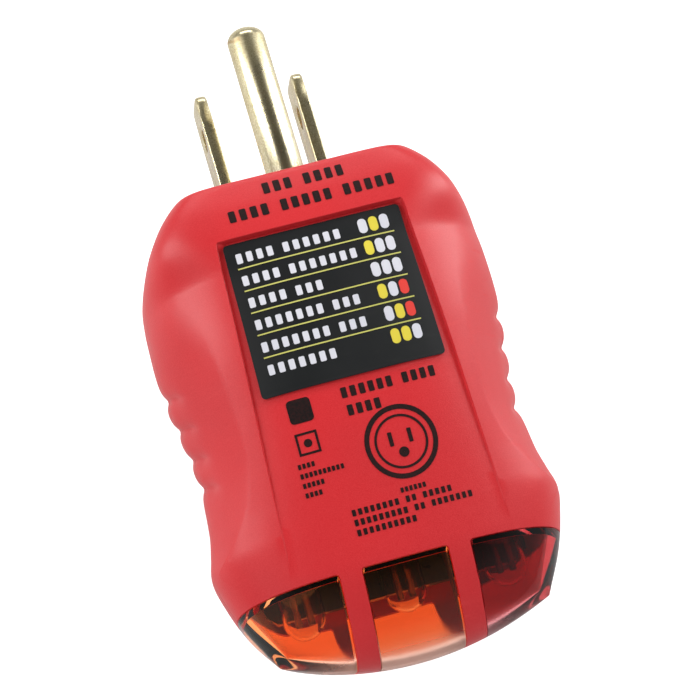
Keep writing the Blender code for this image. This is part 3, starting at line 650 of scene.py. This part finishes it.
def bodySolid(name, inset=0.0, start=0.0):
    # the closed outer shape of the body, or the same shape set in all round
    if inset:
        counts = (6, 1, 3, 10)
        rows = [-body["endWall"]] + spread(-body["endWall"], -42.0, 24) + lampEndRows(-42.0, 22)
        linesAt = [(row, inset) for row in rows]
    else:
        counts = (12, 5, 7, 20)
        edge, top, slope = body["edgeRound"], panel["top"], panel["slope"]
        turns = [step / 5 * math.pi / 2 for step in range(6)]
        linesAt = [(edge * (math.cos(a) - 1.0), edge * (1.0 - math.sin(a))) for a in turns]
        rows = spread(-edge, top, 18) + spread(top, top - slope, 6)
        rows += spread(top - slope, grip["start"], 30)
        rows += spread(grip["start"], grip["end"], 84) + spread(grip["end"], -49.4, 26)
        rows += lampEndRows(-49.4, 36)
        linesAt += [(row, 0.0) for row in rows]
    linesAt = [pair for pair in linesAt if pair[0] <= start]
    sheets = []
    for side in (1, -1):
        lines = []
        for row, trim in linesAt:
            bow = body["endBow"] * easeStep(-body["bowStart"], body["length"], -row)
            half = along(body["outline"], row + bow) - trim
            xs = columnPlaces(row, half, counts)
            xs = [-x for x in reversed(xs[1:])] + xs
            lines.append([surfacePoint(x, row, half, trim, side) for x in xs])
        sheets.append(skinGrid(name, lines))
    solid = joinAll(sheets, name)
    bpy.ops.object.mode_set(mode="EDIT")
    bpy.ops.mesh.select_all(action="SELECT")
    bpy.ops.mesh.remove_doubles(threshold=0.003 * mm)
    bpy.ops.mesh.select_all(action="DESELECT")
    bpy.ops.mesh.select_mode(type="EDGE")
    bpy.ops.mesh.select_non_manifold(extend=False)
    bpy.ops.mesh.edge_face_add()
    bpy.ops.mesh.select_mode(type="VERT")
    bpy.ops.mesh.select_all(action="SELECT")
    bpy.ops.mesh.normals_make_consistent(inside=False)
    bpy.ops.object.mode_set(mode="OBJECT")
    return solid


def frontHeight(x, y):  # z of the casing's front at a place that lies above the bow
    half = along(body["outline"], y)
    rise = along(body["crown"], y) - body["parting"]
    return body["parting"] + rise * frontSection(abs(x) / half, y, half) - panelDepth(x, y)


# ---- casing ----

prong = {
    "half": 6.35, "thick": 1.5, "width": 6.35, "length": 17.3, "hole": 1.6, "holeFromTip": 5.2,
    "tipRound": 1.1, "tipSoft": 0.42, "edgeSoft": 0.14, "holeFlare": 0.35, "pinRadius": 2.4,
    "pinLength": 21.2, "pinZ": 11.9, "nose": 1.7, "tail": 9.0, "tab": 4.5,
}
casing = {
    "ribs": (5.4, 8.1), "windowY": -49.4, "windowZ": 14.7, "tilt": 0.12, "windowCorner": 0.45,
    "screws": [(-14.4, -11.6), (14.4, -11.6), (-14.4, -41.2), (14.4, -41.2)],
    "boardPosts": [(-9.0, -19.0), (9.0, -19.0), (-9.0, -42.5), (9.0, -42.5)],
    "headSeat": -1.0, "headRadius": 2.3, "shank": 1.15, "screwTop": 12.6,
    "frontPost": 2.7, "backPost": 3.3,
    "buttonY": -30.0, "buttonRadius": 4.5, "dishRadius": 9.5, "dishDepth": 1.1, "padTop": -5.4,
}


def windowSpace(name, lowX, highX, start, corner):
    piece = block(name, (lowX, -80, -30), (highX, 0, 40))
    for vertex in piece.data.vertices:
        if vertex.co.y > -0.01:
            z = vertex.co.z / mm
            vertex.co.y = (casing["windowY"] - casing["tilt"] * (casing["windowZ"] - z) + start) * mm
    roundEdges(piece, lambda a, b: abs(a.x - b.x) < 0.01 and min(a.y, b.y) > -70
               and abs(a.z - b.z) > 30 and abs(a.x) < 20, corner, 5)
    return piece


def prongSlots(gap, depth):
    cutters = []
    wide, tall = prong["thick"] / 2 + gap, prong["width"] / 2 + gap
    for sign in (-1, 1):
        x = sign * prong["half"]
        cutters.append(block("slot", (x - wide, -depth, -tall), (x + wide, 2, tall)))
    return cutters


def makeCasing():
    inner, outer = casing["ribs"]
    whole = bodySolid("whole")
    combine(whole, bodySolid("cavity", body["wall"]), "DIFFERENCE")
    core = bodySolid("core", 0.8)
    front = copyOf(whole, "front_casing")
    back = whole
    back.name = "back_casing"
    spans = ((-40, -outer), (-inner, inner), (outer, 40))
    windows = [windowSpace("window", *span, 0.0, casing["windowCorner"]) for span in spans]
    windows = joinAll(windows, "windows")

    posts = [rod("post", casing["frontPost"], body["parting"] - 1, 18, (x, y, 0), steps=32)
             for x, y in casing["screws"]]
    posts = combine(joinAll(posts, "posts"), copyOf(core, "coreCopy"), "INTERSECT")
    combine(front, posts, "UNION")
    cuts = [rod("pilot", casing["shank"] + 0.15, 0, casing["screwTop"] + 0.3, (x, y, 0), steps=24)
            for x, y in casing["screws"]]
    pinRoom = prong["pinRadius"] + 0.3
    cuts.append(rod("pinHole", pinRoom, -body["endWall"] - 1, 2, (0, 0, prong["pinZ"]), "Y", 48))
    combine(front, cuts + [copyOf(windows, "windowsCopy")], "DIFFERENCE")
    above = block("above", (-40, -80, body["parting"] + body["seam"] / 2), (40, 20, 40))
    combine(front, above, "INTERSECT")

    posts = [rod("post", casing["backPost"], -20, body["parting"] + 1, (x, y, 0), steps=36)
             for x, y in casing["screws"]]
    buttonAt = (0, casing["buttonY"], 0)
    posts.append(rod("pad", casing["dishRadius"] - 0.5, -20, casing["padTop"], buttonAt, steps=72))
    posts += [rod("post", 1.2, -20, 1.85, (x, y, 0), steps=20) for x, y in casing["boardPosts"]]
    posts = combine(joinAll(posts, "posts"), core, "INTERSECT")
    combine(back, posts, "UNION")
    head, seat = casing["headRadius"] + 0.3, casing["headSeat"]
    step = [(head + 0.25, -20), (head + 0.25, body["back"] - 0.1), (head, body["back"] + 0.25), (head, seat),
            (casing["shank"] + 0.3, seat), (casing["shank"] + 0.3, 12)]
    cuts = [turned("sink", step, (x, y, 0), steps=40) for x, y in casing["screws"]]
    radius, depth = casing["dishRadius"], casing["dishDepth"]
    sphere = (radius**2 + depth**2) / (2 * depth)
    hole = casing["buttonRadius"] + 0.25
    arc = [(radius + 0.2 - (radius + 0.2 - hole - 0.3) * step / 12) for step in range(13)]
    low = body["back"] + depth - sphere
    dish = [(radius + 0.2, -20)]
    dish += [(r, low + math.sqrt(max(sphere**2 - r**2, 0.0))) for r in arc]
    dish += [(hole, dish[-1][1] + 0.25), (hole, casing["padTop"] + 1)]
    cuts.append(turned("dish", dish, buttonAt, steps=96))
    cuts += prongSlots(0.3, body["endWall"] + 1)
    combine(back, cuts + [windows], "DIFFERENCE")
    below = block("below", (-40, -80, -40), (40, 20, body["parting"] - body["seam"] / 2))
    combine(back, below, "INTERSECT")
    finished(front, finish["redShell"], replaces=["front_shell"], smooth=32)
    finished(back, finish["redShell"], replaces=["back_shell"], smooth=32)


makeCasing()
print("casing made")


# ---- lenses ----

lens = {"wall": 1.4, "gap": 0.12}


def makeLenses():
    shell = bodySolid("lensShell", start=-39.0)
    combine(shell, bodySolid("lensCavity", lens["wall"]), "DIFFERENCE")
    inner, outer = casing["ribs"]
    gap = lens["gap"]
    spans = {
        "lens_cap_left": (-30, -outer - gap, "amberLens", "amber_lens", "lens_left"),
        "lens_cap_centre": (-inner + gap, inner - gap, "amberLens", "amber_lens", "lens_centre"),
        "lens_cap_right": (outer + gap, 30, "redLens", "red_lens", "lens_right"),
    }
    for name, (low, high, look, slot, node) in spans.items():
        piece = copyOf(shell, name)
        combine(piece, windowSpace("space", low, high, -gap, 0.35), "INTERSECT")
        finished(piece, finish[look], replaces=[node])
    bpy.data.objects.remove(shell, do_unlink=True)


makeLenses()
print("lenses made")


# ---- legend plate and printed marks ----

plate = {"top": -7.95, "length": 19.4, "half": 11.05, "flare": 0.4, "lift": 0.1, "thick": 0.3, "corner": 0.5}
rows = [  # word lengths in letters, and the three pips of each row
    ((4, 6), "WYW"), ((4, 7), "YWW"), ((4, 3), "WWW"), ((7, 3), "YWR"), ((7, 3), "WYR"), ((7,), "YYW"),
]
printed = {"left": -9.95, "right": 9.65, "first": -11.2, "pitch": 2.85, "rule": 0.16, "letter": (0.74, 1.25),
           "step": 1.27, "wordGap": 0.75, "pip": (1.08, 1.85), "pipPitch": 1.36, "ink": 0.03}


def plateHeight(x, y):
    half = along(body["outline"], y)
    rise = along(body["crown"], y) - body["parting"]
    floor = body["parting"] + rise * frontSection(abs(x) / half, y, half) - panelDepth(0.0, y)
    return floor + plate["lift"] + plate["thick"]


def makePlate():
    lines = []
    for step in range(25):
        y = plate["top"] - plate["length"] * step / 24
        half = plate["half"] + plate["flare"] * step / 24
        xs = [half * (column / 14 - 1.0) for column in range(29)]
        lines.append([Vector((x, y, plateHeight(x, y))) for x in xs])
    piece = skinGrid("legend_plate", lines)
    outward(piece)
    if piece.data.polygons[0].normal.z < 0:
        pick(piece)
        bpy.ops.object.mode_set(mode="EDIT")
        bpy.ops.mesh.select_all(action="SELECT")
        bpy.ops.mesh.flip_normals()
        bpy.ops.object.mode_set(mode="OBJECT")
    applyModifier(piece, "SOLIDIFY", thickness=plate["thick"] * mm, offset=-1.0)
    low = plate["top"] - plate["length"]
    roundEdges(piece, lambda a, b: abs(a.x) > plate["half"] - 0.05 and abs(a.z - b.z) > 0.2
               and (abs(a.y - plate["top"]) < 0.05 or abs(a.y - low) < 0.05), plate["corner"], 6)
    return finished(piece, finish["legendPlate"], replaces=["label_plate"])


def roundedTile(width, height, corner, cuts=0):
    clearPick()
    bpy.ops.mesh.primitive_plane_add(size=1)
    tile = added("tile")
    tile.scale = (width * mm, height * mm, 1)
    freeze(tile)
    bpy.ops.object.mode_set(mode="EDIT")
    bpy.ops.mesh.select_all(action="SELECT")
    if corner:
        bpy.ops.mesh.bevel(offset=corner * mm, segments=5, affect="VERTICES")
    if cuts:
        bpy.ops.mesh.subdivide(number_cuts=cuts)
    bpy.ops.object.mode_set(mode="OBJECT")
    return tile


def ringTile(outer, inner, steps=48):
    clearPick()
    bpy.ops.mesh.primitive_circle_add(vertices=steps, radius=outer * mm, fill_type="NOTHING")
    tile = added("tile")
    bpy.ops.object.mode_set(mode="EDIT")
    bpy.ops.mesh.select_all(action="SELECT")
    bpy.ops.mesh.extrude_edges_move(TRANSFORM_OT_translate={"value": (0, 0, 0)})
    share = inner / outer
    bpy.ops.transform.resize(value=(share, share, 1), center_override=(0, 0, 0))
    bpy.ops.object.mode_set(mode="OBJECT")
    return tile


def placed(tile, x, y):
    twin = copyOf(tile, "mark")
    twin.location = (x * mm, y * mm, 0)
    return twin


def inkPiece(name, marks, height, material):
    # the flat marks of one colour, laid on the surface below them and given the ink's thickness
    for mark in marks:
        for vertex in mark.data.vertices:
            vertex.co += mark.location
        mark.location = (0, 0, 0)
    piece = joinAll(marks, name)
    for vertex in piece.data.vertices:
        x, y = vertex.co.x / mm, vertex.co.y / mm
        vertex.co.z = (height(x, y) + printed["ink"]) * mm
    bpy.ops.object.mode_set(mode="EDIT")
    bpy.ops.mesh.select_all(action="SELECT")
    bpy.ops.mesh.normals_make_consistent(inside=False)
    bpy.ops.object.mode_set(mode="OBJECT")
    mesh = piece.data
    for face in mesh.polygons:
        face.select = face.normal.z < 0
    bpy.ops.object.mode_set(mode="EDIT")
    bpy.ops.mesh.flip_normals()
    bpy.ops.object.mode_set(mode="OBJECT")
    applyModifier(piece, "SOLIDIFY", thickness=0.8 * printed["ink"] * mm, offset=-1.0)
    return finished(piece, material)


def word(tile, letters, x, y, step):
    return [placed(tile, x + step * number, y) for number in range(letters)]


def makeLegend():
    width, height = printed["letter"]
    letter = roundedTile(width, height, 0.16)
    pip = roundedTile(*printed["pip"], 0.5)
    span = printed["right"] - printed["left"]
    rule = roundedTile(span, printed["rule"], 0, 12)
    marks = {"W": [], "Y": [], "R": [], "rule": []}
    for number, (words, pips) in enumerate(rows):
        y = printed["first"] - printed["pitch"] * number
        if number < len(rows) - 1:
            marks["rule"].append(placed(rule, printed["left"] + span / 2, y))
        x = printed["left"] + width / 2 + 0.1
        for letters in words:
            marks["W"] += word(letter, letters, x, y + 1.25, printed["step"])
            x += printed["step"] * letters + printed["wordGap"]
        for at, colour in enumerate(pips):
            right = printed["right"] - 0.35 - printed["pip"][0] / 2
            marks[colour].append(placed(pip, right - printed["pipPitch"] * (2 - at), y + 1.45))
    looksOf = {"W": "whiteInk", "Y": "yellowInk", "R": "redInk", "rule": "ruleInk"}
    names = {"W": "legend_white", "Y": "legend_yellow", "R": "legend_red", "rule": "legend_rules"}
    for key, found in marks.items():
        inkPiece(names[key], found, plateHeight, finish[looksOf[key]])
    for tile in (letter, pip, rule):
        bpy.data.objects.remove(tile, do_unlink=True)


def makeCasingMarks():
    # plain bars in place of words, and plain signs in place of marks
    tiles = {
        "large": roundedTile(0.84, 1.5, 0.16), "rating": roundedTile(0.7, 1.3, 0.12),
        "small": roundedTile(0.36, 0.6, 0.06), "middle": roundedTile(0.46, 0.76, 0.08),
    }
    steps = {"large": 1.36, "rating": 1.12, "small": 0.55, "middle": 0.76}
    lines = [  # tile, left edge, middle height, words
        ("large", -4.6, -2.05, (3, 4)), ("large", -9.6, -4.75, (4, 5, 5)),
        ("rating", -2.4, -29.0, (6, 4)), ("rating", -2.2, -31.2, (4,)),
        ("small", -9.6, -36.2, (4,)), ("small", -9.6, -37.35, (10,)), ("small", -9.6, -38.5, (5,)),
        ("small", -9.6, -39.65, (4,)),
        ("small", 1.5, -41.9, (6,)), ("middle", -4.9, -43.05, (8, 2, 5)),
        ("middle", -4.9, -44.25, (9, 2, 7)), ("middle", -4.9, -45.45, (10,)),
    ]
    marks = []
    for key, x, y, words in lines:
        x += steps[key] / 2
        for letters in words:
            marks += word(tiles[key], letters, x, y, steps[key])
            x += steps[key] * (letters + 0.8)
    ring = ringTile(4.45, 3.85)
    face = ringTile(3.25, 2.95)
    slot = roundedTile(0.5, 1.7, 0.1)
    earth = ringTile(0.62, 0.02, 24)
    marks += [placed(ring, 3.25, -36.3), placed(face, 3.25, -36.3)]
    marks += [placed(slot, 2.05, -35.8), placed(slot, 4.45, -35.8), placed(earth, 3.25, -37.6)]
    sign = roundedTile(2.9, 2.9, 0.5, 2)
    marks.append(placed(sign, -7.5, -29.75))
    frameTile = ringTile(1.9, 1.5, 4)
    for vertex in frameTile.data.vertices:
        x, y = vertex.co.x, vertex.co.y
        vertex.co.x, vertex.co.y = (x - y) * 0.7071, (x + y) * 0.7071
    dot = ringTile(0.5, 0.02, 20)
    marks += [placed(frameTile, -7.6, -33.7), placed(dot, -7.6, -33.7)]
    inkPiece("casing_marks", marks, frontHeight, finish["blackInk"])
    for tile in [ring, face, slot, earth, sign, frameTile, dot, *tiles.values()]:
        bpy.data.objects.remove(tile, do_unlink=True)


makePlate()
makeLegend()
makeCasingMarks()
print("legend made")


# ---- prongs ----

def makeBlade(name, sign, node):
    x, half, tip, tail = sign * prong["half"], prong["width"] / 2, prong["length"], prong["tail"]
    blade = block(name, (x - prong["thick"] / 2, -tail, -half), (x + prong["thick"] / 2, tip, half))
    roundEdges(blade, lambda a, b: min(a.y, b.y) > tip - 0.1 and abs(a.x - b.x) > 1,
               prong["tipRound"], 6)
    roundEdges(blade, lambda a, b: min(a.y, b.y) > tip - 1.2 and abs(a.x - b.x) < 0.01,
               prong["tipSoft"], 4)
    roundEdges(blade, lambda a, b: abs(a.y - b.y) > 10 and abs(a.z) > half - 0.1,
               prong["edgeSoft"], 3)
    hole, wide = prong["hole"], prong["hole"] + prong["holeFlare"]
    flare = [(wide, -2), (wide, -0.8), (hole, -0.55), (hole, 0.55), (wide, 0.8), (wide, 2)]
    combine(blade, turned("hole", flare, (x, tip - prong["holeFromTip"], 0), "X", 48), "DIFFERENCE")
    tab = block("tab", (x - prong["thick"] / 2 + 0.1, -tail - prong["tab"], -1.4),
                (x + prong["thick"] / 2 - 0.1, -tail + 0.5, 1.4))
    combine(blade, tab, "UNION")
    finished(blade, finish["plating"], replaces=[node], smooth=40)


def makePin():
    nose = [step / 10 * math.pi / 2 for step in range(10)]
    radius, length, start = prong["pinRadius"], prong["pinLength"], -prong["tail"]
    profile = [(1.1, start - prong["tab"]), (1.1, start), (radius - 0.2, start), (radius, start + 0.3)]
    profile += [(radius * math.cos(a), length - prong["nose"] * (1 - math.sin(a))) for a in nose]
    profile.append((0.06 * radius, length))
    pin = turned("round_pin", profile, (0, 0, prong["pinZ"]), "Y", 96)
    finished(pin, finish["plating"], replaces=["ground_pin"], smooth=40)


makeBlade("blade_left", -1, "hot_blade")
makeBlade("blade_right", 1, "neutral_blade")
makePin()
print("prongs made")


# ---- lamps and what shows behind the windows ----

lamp = {"x": 12.6, "z": 7.2, "radius": 2.6, "tip": -54.6, "length": 9.4, "wall": 0.35, "boardTop": 3.6}


def makeLamp(name, x):
    radius, tip = lamp["radius"], lamp["tip"]
    base = tip + lamp["length"]
    dome = [step / 8 * math.pi / 2 for step in range(1, 9)]
    outside = [(0.15, tip)] + [(radius * math.sin(a), tip + radius * (1 - math.cos(a))) for a in dome]
    outside += [(radius, base - 0.9), (radius - 0.5, base - 0.2), (radius - 0.9, base)]
    inner = radius - lamp["wall"]
    inside = [(0.12, tip + lamp["wall"])]
    inside += [(inner * math.sin(a), tip + lamp["wall"] + inner * (1 - math.cos(a))) for a in dome]
    inside += [(inner, base - 1.6), (0.6, base - 1.2)]
    glass = turned(name + "_bulb", outside, (x, 0, lamp["z"]), "Y", 48)
    combine(glass, turned("hollow", inside, (x, 0, lamp["z"]), "Y", 48), "DIFFERENCE")
    finished(glass, finish["lampGlass"], replaces=[name])
    parts = []
    for sign in (-1, 1):
        rodX = x + sign * 0.75
        profile = [(0.32, tip + 1.6), (0.42, tip + 1.75), (0.42, tip + 6.2), (0.16, tip + 6.4),
                   (0.16, base - 1.3)]
        parts.append(turned("electrode", profile, (rodX, 0, lamp["z"]), "Y", 20))
        route = [(rodX, base + 0.05, lamp["z"]), (rodX, base + 0.9, lamp["z"]),
                 (rodX, base + 1.6, lamp["z"] - 0.2), (rodX, base + 2.1, lamp["z"] - 1.2),
                 (rodX, base + 2.2, lamp["boardTop"] + 0.1)]
        parts.append(wire("lead", route, 0.17))
    finished(joinAll(parts, name + "_electrodes"), finish["electrode"])


for name, x in (("lamp_left", -lamp["x"]), ("lamp_centre", 0.0), ("lamp_right", lamp["x"])):
    makeLamp(name, x)
print("lamps made")


# ---- button, spring and screws ----

push = {"radius": 4.5, "travel": 1.5, "sunk": 0.3, "flange": 5.7, "flangeThick": 0.9, "stem": 1.5}


def makeButton():
    y = casing["buttonY"]
    flange = casing["padTop"] + 0.2
    face = body["back"] + push["sunk"]
    radius = push["radius"]
    contact = 2.0 - 0.15 - 0.5
    bridge = contact - 0.08 - push["travel"] - 0.4
    stem = push["stem"]
    top = flange + push["flangeThick"]
    profile = [(0.2, face + 0.55), (0.8, face + 0.53)]
    profile += [(r, face + 0.53 * (1 - (r / 3.4) ** 2) + 0.02) for r in (1.6, 2.4, 3.0, 3.4)]
    profile += [(3.7, face), (4.0, face + 0.05), (4.3, face + 0.22), (radius, face + 0.6), (radius, flange),
                (push["flange"] - 0.1, flange), (push["flange"], flange + 0.1), (push["flange"], top - 0.1),
                (push["flange"] - 0.1, top), (stem + 0.9, top), (stem + 0.7, top + 0.2),
                (stem + 0.7, bridge - 0.1), (stem, bridge - 0.1), (stem, bridge + 0.2),
                (stem - 0.1, bridge + 0.3)]
    button = turned("push_button", profile, (0, y, 0), steps=96)
    finished(button, finish["buttonBlack"], "button", ["test_button"])
    ring = [(2.0, 0.0), (2.95, 0.0), (3.0, 0.06), (3.0, 0.34), (2.95, 0.4), (2.0, 0.4)]
    disc = turned("moving_contact", ring, (0, y, bridge), steps=64)
    combine(disc, rod("opening", stem + 0.1, -3, 3, (0, y, bridge), steps=48), "DIFFERENCE")
    finished(disc, finish["contactBrass"], "button", ["contact_bridge"])


def makeSpring():
    low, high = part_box("button_spring")
    lowZ, highZ, coil, gauge = low.z / mm + 0.3, high.z / mm - 0.3, 3.9, 0.3
    turns, steps = 3.5, 30
    route = []
    for step in range(int(turns * steps) + 1):
        share = step / (turns * steps)
        angle = 2 * math.pi * turns * share
        rise = easeStep(0.0, 0.18, share) * 0.09 + easeStep(0.18, 0.82, share) * 0.82
        rise += easeStep(0.82, 1.0, share) * 0.09  # closed flat at both ends
        route.append((coil * math.cos(angle), casing["buttonY"] + coil * math.sin(angle),
                      lowZ + (highZ - lowZ) * rise))
    spring = wire("coil_spring", route, gauge, 2, smooth=False)
    finished(spring, finish["springSteel"], replaces=["button_spring"])
    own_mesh(spring)


def makeScrews():
    head, radius, shank = casing["headSeat"] - 0.1, casing["headRadius"], casing["shank"]
    profile = [(0.5, head - 1.72), (1.2, head - 1.68), (1.75, head - 1.55), (2.1, head - 1.3),
               (radius, head - 0.95), (radius, head - 0.08), (radius - 0.08, head), (shank, head)]
    pitch = 1.1
    turns = int((casing["screwTop"] - 1.8 - head) / pitch)
    for number in range(turns):
        z = head + 0.5 + number * pitch
        profile += [(shank - 0.32, z), (shank - 0.32, z + 0.3), (shank, z + 0.5), (shank - 0.32, z + 0.7)]
    profile += [(shank - 0.35, casing["screwTop"] - 1.2), (0.1, casing["screwTop"])]
    screw = turned("screw", profile, (0, 0, 0), steps=32)
    arms = [block("arm", (-a, -b, head - 3), (a, b, head - 0.75))
            for a, b in ((1.25, 0.27), (0.27, 1.25))]
    cross = combine(arms[0], arms[1], "UNION")
    combine(screw, cross, "DIFFERENCE")
    for number, (x, y) in enumerate(casing["screws"], 1):
        twin = copyOf(screw, f"case_screw_{number}")
        twin.rotation_euler.z = 0.7 * number
        twin.location = (x * mm, y * mm, 0)
        finished(twin, finish["screwZinc"], replaces=[f"screw_{number}"])
    bpy.data.objects.remove(screw, do_unlink=True)


makeButton()
makeSpring()
makeScrews()
print("button, spring and screws made")


# ---- finishes of the CAD pieces that stay ----

carried = {
    "prong_carrier": "blackPlastic", "lamp_shroud": "blackPlastic", "circuit_board": "boardGreen",
    "contact_hot": "contactBrass", "contact_ground": "contactBrass",
    "hot_wire": "wireBlack", "neutral_wire": "wireWhite", "ground_wire": "wireGreen",
}


def coat(node, material):
    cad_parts[node].data.materials.clear()
    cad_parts[node].data.materials.append(material)


for node, name in carried.items():
    coat(node, finish[name])

brown, black = (0.12, 0.04, 0.015), (0.01, 0.01, 0.01)
rings = [brown, black, (0.75, 0.18, 0.02), (0.55, 0.38, 0.10)]
tan, green = (0.60, 0.44, 0.26), (0.06, 0.24, 0.20)
for node in ("resistor_left", "resistor_centre", "resistor_right"):
    coat(node, bandedFinish(node + "_coat", tan, rings, "Y", -37.5, 1.25))
coat("test_resistor", bandedFinish("test_resistor_coat", green, rings, "X", 0.0, 2.1))
print("carried pieces finished")


# ---- floor, light and sky ----

def makeStage():
    clearPick()
    bpy.ops.mesh.primitive_plane_add(size=6, location=(0, 0, cadBox[0][2] - 0.0001))
    floor = added("floor")
    material = bpy.data.materials.new("paleFloor")
    material.use_nodes = True
    tree, nodes, links = treeOf(material.node_tree)
    shader = nodes["Principled BSDF"]
    shader.inputs["Base Color"].default_value = (0.5, 0.5, 0.5, 1.0)
    shader.inputs["Emission Color"].default_value = (1.0, 1.0, 1.0, 1.0)
    under = nodes.new("ShaderNodeMixShader")  # clear from below, so that the back can be seen
    links.new(nodes.new("ShaderNodeNewGeometry").outputs["Backfacing"], under.inputs["Fac"])
    links.new(shader.outputs["BSDF"], under.inputs[1])
    links.new(nodes.new("ShaderNodeBsdfTransparent").outputs["BSDF"], under.inputs[2])
    links.new(under.outputs["Shader"], nodes["Material Output"].inputs["Surface"])
    path = nodes.new("ShaderNodeLightPath")
    rays = (path.outputs["Is Camera Ray"], path.outputs["Is Transmission Ray"])
    seen = mathNode(tree, "MAXIMUM", *rays)
    links.new(rangeNode(tree, seen, 0.0, 1.0, 0.25, 0.95), shader.inputs["Emission Strength"])
    floor.data.materials.append(material)


def softLight(name, place, aim, size, power):
    clearPick()
    bpy.ops.object.light_add(type="AREA", location=place)
    light = bpy.context.active_object
    light.name = name
    light.data.shape = "RECTANGLE"
    light.data.size, light.data.size_y = size
    light.data.energy = power
    light.rotation_euler = (Vector(aim) - Vector(place)).to_track_quat("-Z", "Y").to_euler()
    return light


def makeSky():
    world = bpy.data.worlds.new("sky")
    bpy.context.scene.world = world
    world.use_nodes = True
    tree, nodes, links = treeOf(world.node_tree)
    sky = nodes["Background"]
    split = nodes.new("ShaderNodeSeparateXYZ")
    links.new(nodes.new("ShaderNodeTexCoord").outputs["Generated"], split.inputs["Vector"])
    share = rangeNode(tree, split.outputs["Z"], 0.50, 0.88, 0.0, 1.0)
    links.new(mixColour(tree, share, (1.0, 1.0, 1.0), (0.19, 0.18, 0.14)), sky.inputs["Color"])
    sky.inputs["Strength"].default_value = 0.36


makeStage()
makeSky()
softLight("leftStrip", (-0.42, 0.14, 0.30), (0, -0.02, 0), (0.10, 0.5), 1.5)
softLight("rightStrip", (0.45, 0.12, 0.19), (0, -0.02, 0), (0.10, 0.5), 1.6)
softLight("behind", (0.06, 0.42, 0.28), (0, -0.02, 0), (0.50, 0.12), 1.0)
softLight("leftFront", (-0.27, -0.24, 0.38), (0, -0.02, 0), (0.40, 0.40), 0.70).visible_glossy = False
softLight("rightFront", (0.28, -0.16, 0.40), (0, -0.02, 0), (0.35, 0.35), 0.50).visible_glossy = False
print("stage set")
